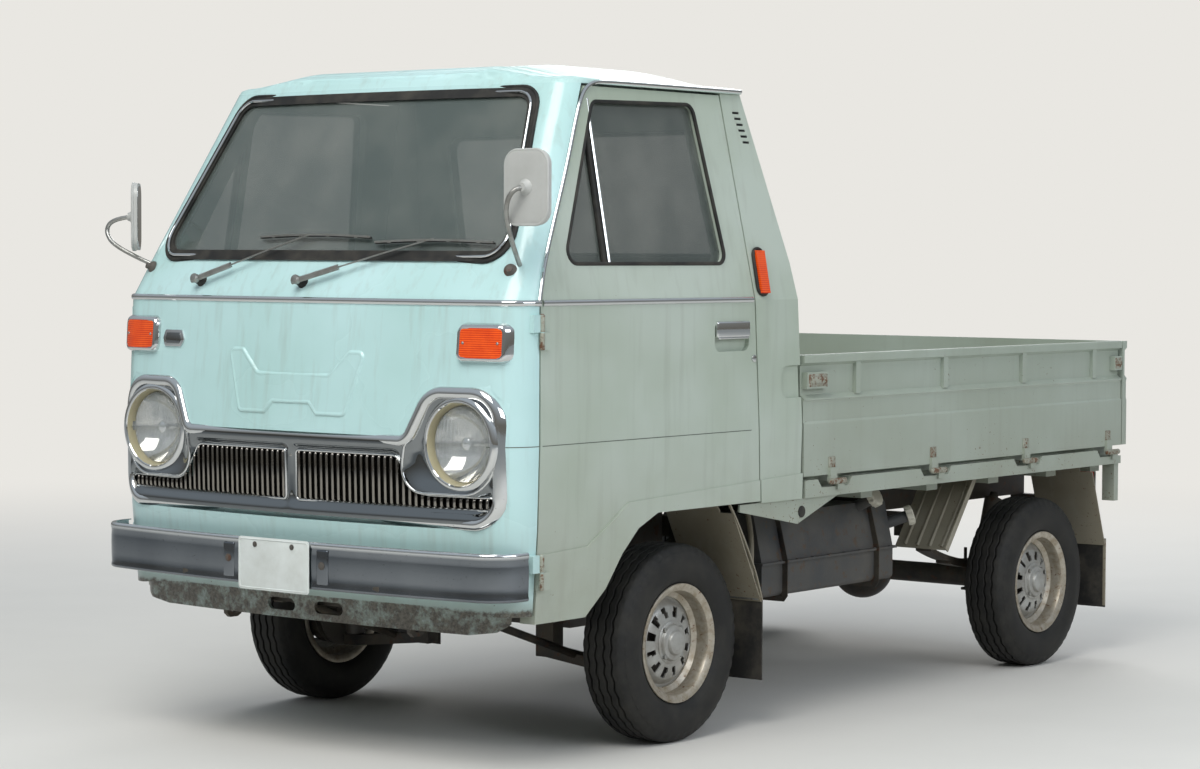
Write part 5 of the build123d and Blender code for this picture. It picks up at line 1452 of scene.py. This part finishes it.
def make_steering_wheel():
    axis = (HUB - COLUMN_FOOT).normalized()
    side = Vector((0, 1, 0))
    drop_back = axis.cross(side) * 8
    ring = turned_piece("hand_wheel_rim", circle(11, 12, 0, 190), HUB, axis, 72)
    settle(ring, "hand wheel", "hand_wheel", "steering_wheel", smooth=60)
    spokes = []
    for sign in (1, -1):
        path = [HUB + side * sign * reach - axis * drop - drop_back
                for reach, drop in ((20, 4), (90, 6), (150, 3), (184, 0))]
        spokes.append(drawn_bar("spoke", path, [(-3, -13), (3, -13), (4, 0), (3, 13), (-3, 13)]))
    settle_all("hand_wheel_spokes", spokes, "hand wheel", "hand_wheel")
    hub = [(-14, 30), (2, 34), (10, 33), (15, 28), (17, 16), (17.5, 0.01), (-14, 0.01)]
    settle(turned_piece("hand_wheel_hub", hub, HUB, axis, 48), "hand wheel", "hand_wheel")
    badge = [(15, 22), (18, 21), (18, 18), (15, 17)]
    settle(turned_piece("hand_wheel_ring", badge, HUB, axis, 32), "chrome", "hand_wheel")


def make_dashboard():
    """Instrument hood with two dials, knobs, vents and a shelf edge, on the instrument shelf."""
    settle(box_piece("dash_hood", (1196, 1262), (-470, -190), (1000, 1100), 16, 4), "dash")
    for index, y in enumerate((-395, -265)):
        dial = ((1195, y, 1048), (-1, 0, 0))
        rim = [(-2, 47), (3, 47), (4, 44), (2, 42), (-2, 42)]
        settle(turned_piece("gauge_rim_%d" % index, rim, *dial, 48), "chrome")
        settle(disc_piece("gauge_face_%d" % index, *dial, 42, 1.6, 0.3, 48), "gauge")
        needle = box_piece("gauge_needle_%d" % index, (1192.5, 1193.6), (y - 1.5, y + 1.5), (1048, 1084), 0.3, 1)
        settle(needle, "side orange")
    knobs = [disc_piece("knob", (1208, y, 985), (-1, 0, 0), 11, 16, 3, 24) for y in (-140, -95, -50, 60)]
    settle_all("dash_knobs", knobs, "hand wheel")
    slats = [box_piece("slat", (1200, 1212), (150, 450), (z, z + 4), 1, 1) for z in (945, 960, 975, 990)]
    settle_all("dash_slats", slats, "hand wheel")
    settle(drawn_bar("dash_roll", [(1204, y, 1042) for y in (-150, 100, 350, 560)], circle(13, 12)), "seat")


class TRUCK_OT_cab_inside(bpy.types.Operator):
    """Make the seats, the steering wheel and the instruments"""
    bl_idname = "truck.cab_inside"
    bl_label = "Cab inside"

    def execute(self, context):
        make_seats()
        make_steering_wheel()
        make_dashboard()
        return {"FINISHED"}


# Bed

GATE_HINGE_X = [91.0, -404.0, -901.0, -1386.0]
GATE_HINGE_Y, GATE_HINGE_Z = 655.1, 604.0
TAILGATE_HINGE_X = -1490.5
TAILGATE_HINGE_Y = [-480.0, -160.0, 160.0, 480.0]
BARREL_SHIFT = 17.6


def gate_barrel(x, sign):
    return disc_piece("barrel", (x, sign * GATE_HINGE_Y, GATE_HINGE_Z), (1, 0, 0), 7.9, 34, 1.2, 20)


def tailgate_barrel(y):
    return disc_piece("barrel", (TAILGATE_HINGE_X, y, GATE_HINGE_Z), (0, 1, 0), 6.8, 34, 1.2, 20)


def make_gate_details(name, sign):
    body = name + "_gate"

    def beyond(out):
        return sign * (BODY_HALF + out)

    straps = []
    for x in GATE_HINGE_X:
        straps.append(box_piece("strap", (x + 3, x + 33), (beyond(-1), beyond(3)), (612, 668), 2.0))
        straps.append(gate_barrel(x + BARREL_SHIFT, sign))
        straps += [screw_piece("rivet", (x + 18, beyond(3), z), (0, sign, 0), 4.6, 2.4) for z in (634, 654)]
    settle_all("gate_straps_" + name, straps, "hinge", body)
    latches = []
    for low, high in ((136, 222), (-1440, -1404)):
        latches.append(box_piece("keeper", (low, high), (beyond(-9), beyond(6)), (850, 884), 4, 3))
        latches.append(box_piece("lever", (low + 8, high - 10), (beyond(5), beyond(9)), (858, 876), 3))
        latches.append(disc_piece("pivot", (low + 12, beyond(7), 867), (0, sign, 0), 8, 6, 1.2, 20))
    settle_all("gate_latches_" + name, latches, "hinge", body)
    for piece, ends, out, z, section in (
            ("gate_crest_", (232, -1447), -1.5, 818, circle(2.6, 8)),
            ("gate_roll_", (233, -1448), -3.2, 929.2, circle(3.6, 10))):
        path = [(x, beyond(out), z) for x in (ends[0], -300, -900, ends[1])]
        settle(drawn_bar(piece + name, path, section), "bed enamel", body)


def make_bed_details():
    barrels = []
    for sign in SIDES.values():
        for x in GATE_HINGE_X:
            barrels.append(gate_barrel(x - BARREL_SHIFT, sign))
            barrels.append(screw_piece("pin", (x + 36, sign * GATE_HINGE_Y, GATE_HINGE_Z), (1, 0, 0), 6, 3))
    barrels += [tailgate_barrel(y - BARREL_SHIFT) for y in TAILGATE_HINGE_Y]
    settle_all("bed_hinge_barrels", barrels, "hinge")
    plugs = [disc_piece("plug", (234, sign * 640, 533), (0, sign, 0), 15, 5, 1.5, 28) for sign in SIDES.values()]
    settle_all("skirt_plugs", plugs, "rubber")
    # Pressed ribs along the deck
    ribs = [box_piece("rib", (-1430, 186), (y - 14, y + 14), (625.6, 628.6), 1.4) for y in range(-528, 529, 96)]
    settle_all("deck_ribs", ribs, "deck")
    settle(box_piece("deck_sheet", (-1448, 192), (-608, 608), (625.2, 626.3), 0.2, 1), "deck")
    settle(drawn_bar("board_roll", [(199, y, 928) for y in (-600, -200, 200, 600)], circle(5, 10)), "bed enamel")
    stays = [box_piece("stay", (227, 234), (y - 12, y + 12), (640, 900), 2.5) for y in (-420, -140, 140, 420)]
    settle_all("board_stays", stays, "bed enamel")


def make_tailgate_details():
    straps, latches = [], []
    for y in TAILGATE_HINGE_Y:
        straps.append(box_piece("strap", (-1486, -1482.5), (y + 3, y + 33), (612, 668), 1.6))
        straps.append(tailgate_barrel(y + BARREL_SHIFT))
        straps += [screw_piece("rivet", (-1486, y + 18, z), (-1, 0, 0), 4.6, 2.4) for z in (636, 654)]
    settle_all("tailgate_straps", straps, "hinge", "rear_gate")
    for sign in SIDES.values():
        latches.append(box_piece("keeper", (-1489, -1478), (sign * 560, sign * 632), (850, 884), 3, 3))
        latches.append(box_piece("lever", (-1492, -1487), (sign * 572, sign * 622), (858, 876), 2))
    settle_all("tailgate_latches", latches, "hinge", "rear_gate")


class TRUCK_OT_bed(bpy.types.Operator):
    """Make hinge straps, latches and rolled edges of the gates, and the deck's ribs"""
    bl_idname = "truck.bed"
    bl_label = "Bed"

    def execute(self, context):
        for name, sign in SIDES.items():
            make_gate_details(name, sign)
        make_bed_details()
        make_tailgate_details()
        return {"FINISHED"}


# Tank, guards and underside

CAP_PROFILE = [(0.5, 26), (16, 26.5), (19, 24), (20.5, 18), (21, 0.01), (0.5, 0.01)]
# Columns: name, its solid, foot and tip of the filler's neck
CAP_ROWS = [
    ("upper", ["filler_caps"], (-290, 440, 490), (-294, 512, 526)), ("lower", [], (-405, 430, 430), (-470, 512, 466))]
# Grips of a cap: how many, from which radius, and their share of it
GRIPS, GRIP_FROM, GRIP_SHARE = 12, 24.0, 0.045
SHOCK_PROFILE = [
    (0, 14), (12, 16), (14, 22), (120, 22), (122, 26), (232, 26), (236, 14), (250, 12), (250, 0.01), (0, 0.01)]


def make_filler_cap(name, solid, foot, tip):
    direction = (Vector(tip) - Vector(foot)).normalized()
    forward = Vector((1, 0, 0))
    cap = turned_piece("filler_cap_" + name, CAP_PROFILE, tip, direction, 48)
    for vertex in cap.data.vertices:
        arm = vertex.co - Vector(tip) * MM
        arm -= direction * arm.dot(direction)
        if arm.length > GRIP_FROM * MM:
            angle = math.atan2(arm.dot(forward), arm.dot(direction.cross(forward)))
            vertex.co += arm * math.copysign(GRIP_SHARE, math.cos(angle * GRIPS))
    settle(cap, "pale plastic", "body", *solid, smooth=40)


def make_tank_details():
    rivets = [screw_piece("rivet", (x, 502.5, 388.4), (0, 0, 1), 4.0, 2.4) for x in range(-400, 200, 75)]
    settle_all("tank_seam_rivets", rivets, "tank")
    hoop = [(330, 515), (471, 515), (500.5, 388), (500.5, 300), (496, 293.5), (330, 293.5)]
    straps = [drawn_bar("strap", [(x, y, z) for y, z in hoop], strip_section(1.4, 14)) for x in (-330, 110)]
    settle_all("tank_straps", straps, "chassis")
    for row in CAP_ROWS:
        make_filler_cap(*row)
    pipe = [(232, 470, 520), (236, 486, 470), (236, 486, 400), (228, 480, 330), (224, 470, 306)]
    settle(drawn_bar("tank_side_pipe", pipe, circle(7, 10), kind="NURBS"), "cream guard")


def make_guard_details():
    for name, sign in SIDES.items():
        # Pale edge strip that sweeps from the arch to the flap
        sweep = [(552, 574), (520, 532), (478, 466), (440, 400), (416, 345), (409, 322)]
        path = [(x, sign * 640, z) for x, z in sweep]
        settle(drawn_bar("guard_edge_" + name, path, strip_section(3, 2), kind="NURBS"), "cream guard")
        clamps = [box_piece("clamp", (410, 416), (sign * 436, sign * 634), (322, 342), 1.5)]
        clamps += [bolt_piece((402, sign * y, 332), (-1, 0, 0), 5, 4) for y in (470, 535, 600)]
        settle_all("guard_clamps_" + name, clamps, "steel")
        ribs = [drawn_bar("rib", [(-548, sign * y, 378), (-712, sign * y, 588)], circle(6, 10))
                for y in (460, 500, 540, 580)]
        settle_all("guard_ribs_" + name, ribs, "cream guard")
        lip = [(-541, sign * 598, 372), (-716, sign * 598, 598)]
        settle(drawn_bar("guard_lip_" + name, lip, strip_section(2, 9)), "cream guard")
        strips = [box_piece("strip", (-1380, -1375), (sign * low, sign * high), z, 1.2) for low, high, z in (
            (632, 641, (145, 342)), (432, 638, (328, 344)))]
        settle_all("flap_strips_" + name, strips, "cream guard")
        bolts = [bolt_piece((-1374, sign * y, 336), (1, 0, 0), 5, 4) for y in (460, 530, 600)]
        settle_all("flap_bolts_" + name, bolts, "cast")


def make_tail_lamp_details():
    frames = []
    for sign in SIDES.values():
        path = [(-1448.5, y, z) for y, z in rectangle(*sorted((sign * 408, sign * 562)), 470, 541, 8)]
        frames.append(drawn_bar("tail_frame", path, circle(4, 10), closed=True))
        for y in (sign * 460, sign * 511):
            frames.append(drawn_bar("tail_bar", [(-1449.6, y, z) for z in (472, 540)], circle(1.8, 8)))
    settle_all("tail_lamp_frames", frames, "chrome")
    screws = [screw_piece("screw", (-1449.5, sign * y, 506), (-1, 0, 0), 3.4, 2)
              for sign in SIDES.values() for y in (420, 550)]
    settle_all("tail_lamp_screws", screws, "steel")


def make_underside():
    for name, sign in SIDES.items():
        bow = [(378, 330), (378, 222), (384, 209), (416, 209), (422, 222), (422, 330)]
        clamps = [drawn_bar("clamp", [(x, sign * y, z) for y, z in bow], circle(5, 8)) for x in (-1070, -1010)]
        clamps.append(box_piece("pad", (-1086, -994), (sign * 372, sign * 428), (206, 214), 2))
        settle_all("spring_clamps_" + name, clamps, "chassis")
        place = ((-1140, sign * 350, 240), (-0.32, 0, 0.95))
        settle(turned_piece("shock_absorber_" + name, SHOCK_PROFILE, *place, 24), "chassis")
    settle(box_piece("engine_sump", (270, 560), (-150, 150), (228, 240), 5, 3), "cast")
    bands = [turned_piece("band", [(-6, 56), (-6, 59), (6, 59), (6, 56)], (x, -395, 300), (1, 0, 0), 48)
             for x in (-150, -480)]
    settle_all("silencer_bands", bands, "exhaust")


class TRUCK_OT_underside(bpy.types.Operator):
    """Make the tank's straps and caps, the guards' strips, the tail lamps' frames and the axle's fittings"""
    bl_idname = "truck.underside"
    bl_label = "Tank, guards and underside"

    def execute(self, context):
        make_tank_details()
        make_guard_details()
        make_tail_lamp_details()
        make_underside()
        return {"FINISHED"}


# Stage

BACKDROP = "#E9E7E2"
# Columns: name, place, target, size, power, colour
LAMP_ROWS = [
    ("key", (5.0, 1.5, 6.0), (0.2, 0.0, 0.8), (4.0, 4.0), 330, "#FFFDF8"),
    ("side", (1.0, 7.0, 3.6), (0.0, 0.3, 0.7), (5.0, 2.5), 170, "#F4F8FF"),
    ("rear", (-6.0, -3.0, 4.5), (-0.4, 0.0, 0.8), (4.0, 3.0), 200, "#FFFFFF"),
]
# The camera that fits the photo: its place, lens, yaw, pitch and roll
CAMERA_PLACE, CAMERA_LENS, CAMERA_TURN = (6.5104, 4.8954, 1.196), 89.27, (218.0326, -2.5785, 0.2368)


def world_light():
    """Sky that lights the truck; the camera sees the plain backdrop in its place."""
    world = bpy.data.worlds.new("studio")
    bpy.context.scene.world = world
    world.use_nodes = True
    tree = world.node_tree
    tree.nodes.clear()
    height = add_node(tree, "SeparateXYZ", {0: add_node(tree, "TexCoord", output="Generated")}, "Z")
    sky = add_node(tree, "ValToRGB", {"Fac": height}, stops=((0.0, "#8E8B84"), (0.55, "#DCE6F0")))
    light = add_node(tree, "Background", {"Color": sky, "Strength": 0.62})
    seen = add_node(tree, "Background", {"Color": BACKDROP, "Strength": 1.0})
    mixed = add_node(tree, "MixShader", {0: add_node(tree, "LightPath", output="Is Camera Ray"), 1: light, 2: seen})
    add_node(tree, "OutputWorld", {"Surface": mixed}, None)


def area_lamp(name, place, target, size, power, colour):
    data = bpy.data.lights.new(name, "AREA")
    data.shape = "RECTANGLE"
    data.size, data.size_y = size
    data.energy = power
    data.color = srgb(colour)[:3]
    lamp = bpy.data.objects.new(name, data)
    bpy.context.collection.objects.link(lamp)
    lamp.location = place
    lamp.rotation_mode = "QUATERNION"
    lamp.rotation_quaternion = (Vector(target) - Vector(place)).to_track_quat("-Z", "Y")


def floor_finish():
    """Pale studio floor, faintly mottled, that fades into the backdrop away from the truck."""
    material, tree = new_finish("pale floor", Roughness=0.85, Specular_IOR_Level=0.1)
    dress(tree, layered(tree, "#D3D1CC", (patches(tree, 400, 3, 0.5, 0.0), "#DAD8D3")))
    place = add_node(tree, "TexCoord", output="Object")
    far = add_node(tree, "VectorMath", {0: place}, "Value", operation="LENGTH")
    fade = add_node(
        tree, "MapRange", {"Value": far, "From Min": 2.6, "From Max": 8.0}, interpolation_type="SMOOTHSTEP")
    seen = weighted(tree, (fade, add_node(tree, "LightPath", output="Is Camera Ray")))
    plain = add_node(tree, "Emission", {"Color": BACKDROP, "Strength": 1.0})
    shader = tree.nodes["Principled BSDF"].outputs[0]
    mixed = add_node(tree, "MixShader", {0: seen, 1: shader, 2: plain})
    tree.links.new(mixed, tree.nodes["Material Output"].inputs["Surface"])
    return material


def photo_camera():
    data = bpy.data.cameras.new("photo_camera")
    data.sensor_width = 36.0
    data.lens = CAMERA_LENS
    data.clip_end = 200.0
    camera = bpy.data.objects.new("photo_camera", data)
    bpy.context.collection.objects.link(camera)
    yaw, pitch, roll = (math.radians(value) for value in CAMERA_TURN)
    ahead = Vector((math.cos(pitch) * math.cos(yaw), math.cos(pitch) * math.sin(yaw), math.sin(pitch)))
    right = ahead.cross(Vector((0, 0, 1))).normalized()
    up = right.cross(ahead)
    image_right = right * math.cos(roll) + up * math.sin(roll)
    image_up = up * math.cos(roll) - right * math.sin(roll)
    turned = Matrix((image_right, image_up, -ahead)).transposed()
    camera.matrix_world = Matrix.Translation(CAMERA_PLACE) @ turned.to_4x4()
    bpy.context.scene.camera = camera


class TRUCK_OT_stage(bpy.types.Operator):
    """Make the floor, the lamps and the camera"""
    bl_idname = "truck.stage"
    bl_label = "Stage"

    def execute(self, context):
        clear_selection()
        bpy.ops.mesh.primitive_plane_add(size=60)
        floor = bpy.context.object
        floor.name = "studio_floor"
        floor.data.materials.append(floor_finish())
        world_light()
        for row in LAMP_ROWS:
            area_lamp(*row)
        photo_camera()
        context.scene.view_settings.view_transform = "Standard"
        return {"FINISHED"}


STEPS = [
    TRUCK_OT_finishes, TRUCK_OT_wheels, TRUCK_OT_front, TRUCK_OT_roof, TRUCK_OT_doors, TRUCK_OT_mirrors_wipers,
    TRUCK_OT_cab_inside, TRUCK_OT_bed, TRUCK_OT_underside, TRUCK_OT_stage,
]


class TRUCK_PT_panel(bpy.types.Panel):
    bl_idname = "TRUCK_PT_panel"
    bl_label = "Kei truck"
    bl_space_type = "VIEW_3D"
    bl_region_type = "UI"
    bl_category = "Kei truck"

    def draw(self, context):
        for group in (context.scene.truck_paint, context.scene.truck_wheels):
            for name in group.__annotations__:
                self.layout.prop(group, name)
        for step in STEPS:
            self.layout.operator(step.bl_idname)


CLASSES = [TruckPaint, TruckWheels] + STEPS + [TRUCK_PT_panel]


def register():
    for entry in CLASSES:
        bpy.utils.register_class(entry)
    bpy.types.Scene.truck_paint = PointerProperty(type=TruckPaint)
    bpy.types.Scene.truck_wheels = PointerProperty(type=TruckWheels)


def unregister():
    del bpy.types.Scene.truck_wheels
    del bpy.types.Scene.truck_paint
    for entry in reversed(CLASSES):
        bpy.utils.unregister_class(entry)


def main():
    register()
    for step in STEPS:
        group, name = step.bl_idname.split(".")
        getattr(getattr(bpy.ops, group), name)()


if __name__ == "__main__":
    main()
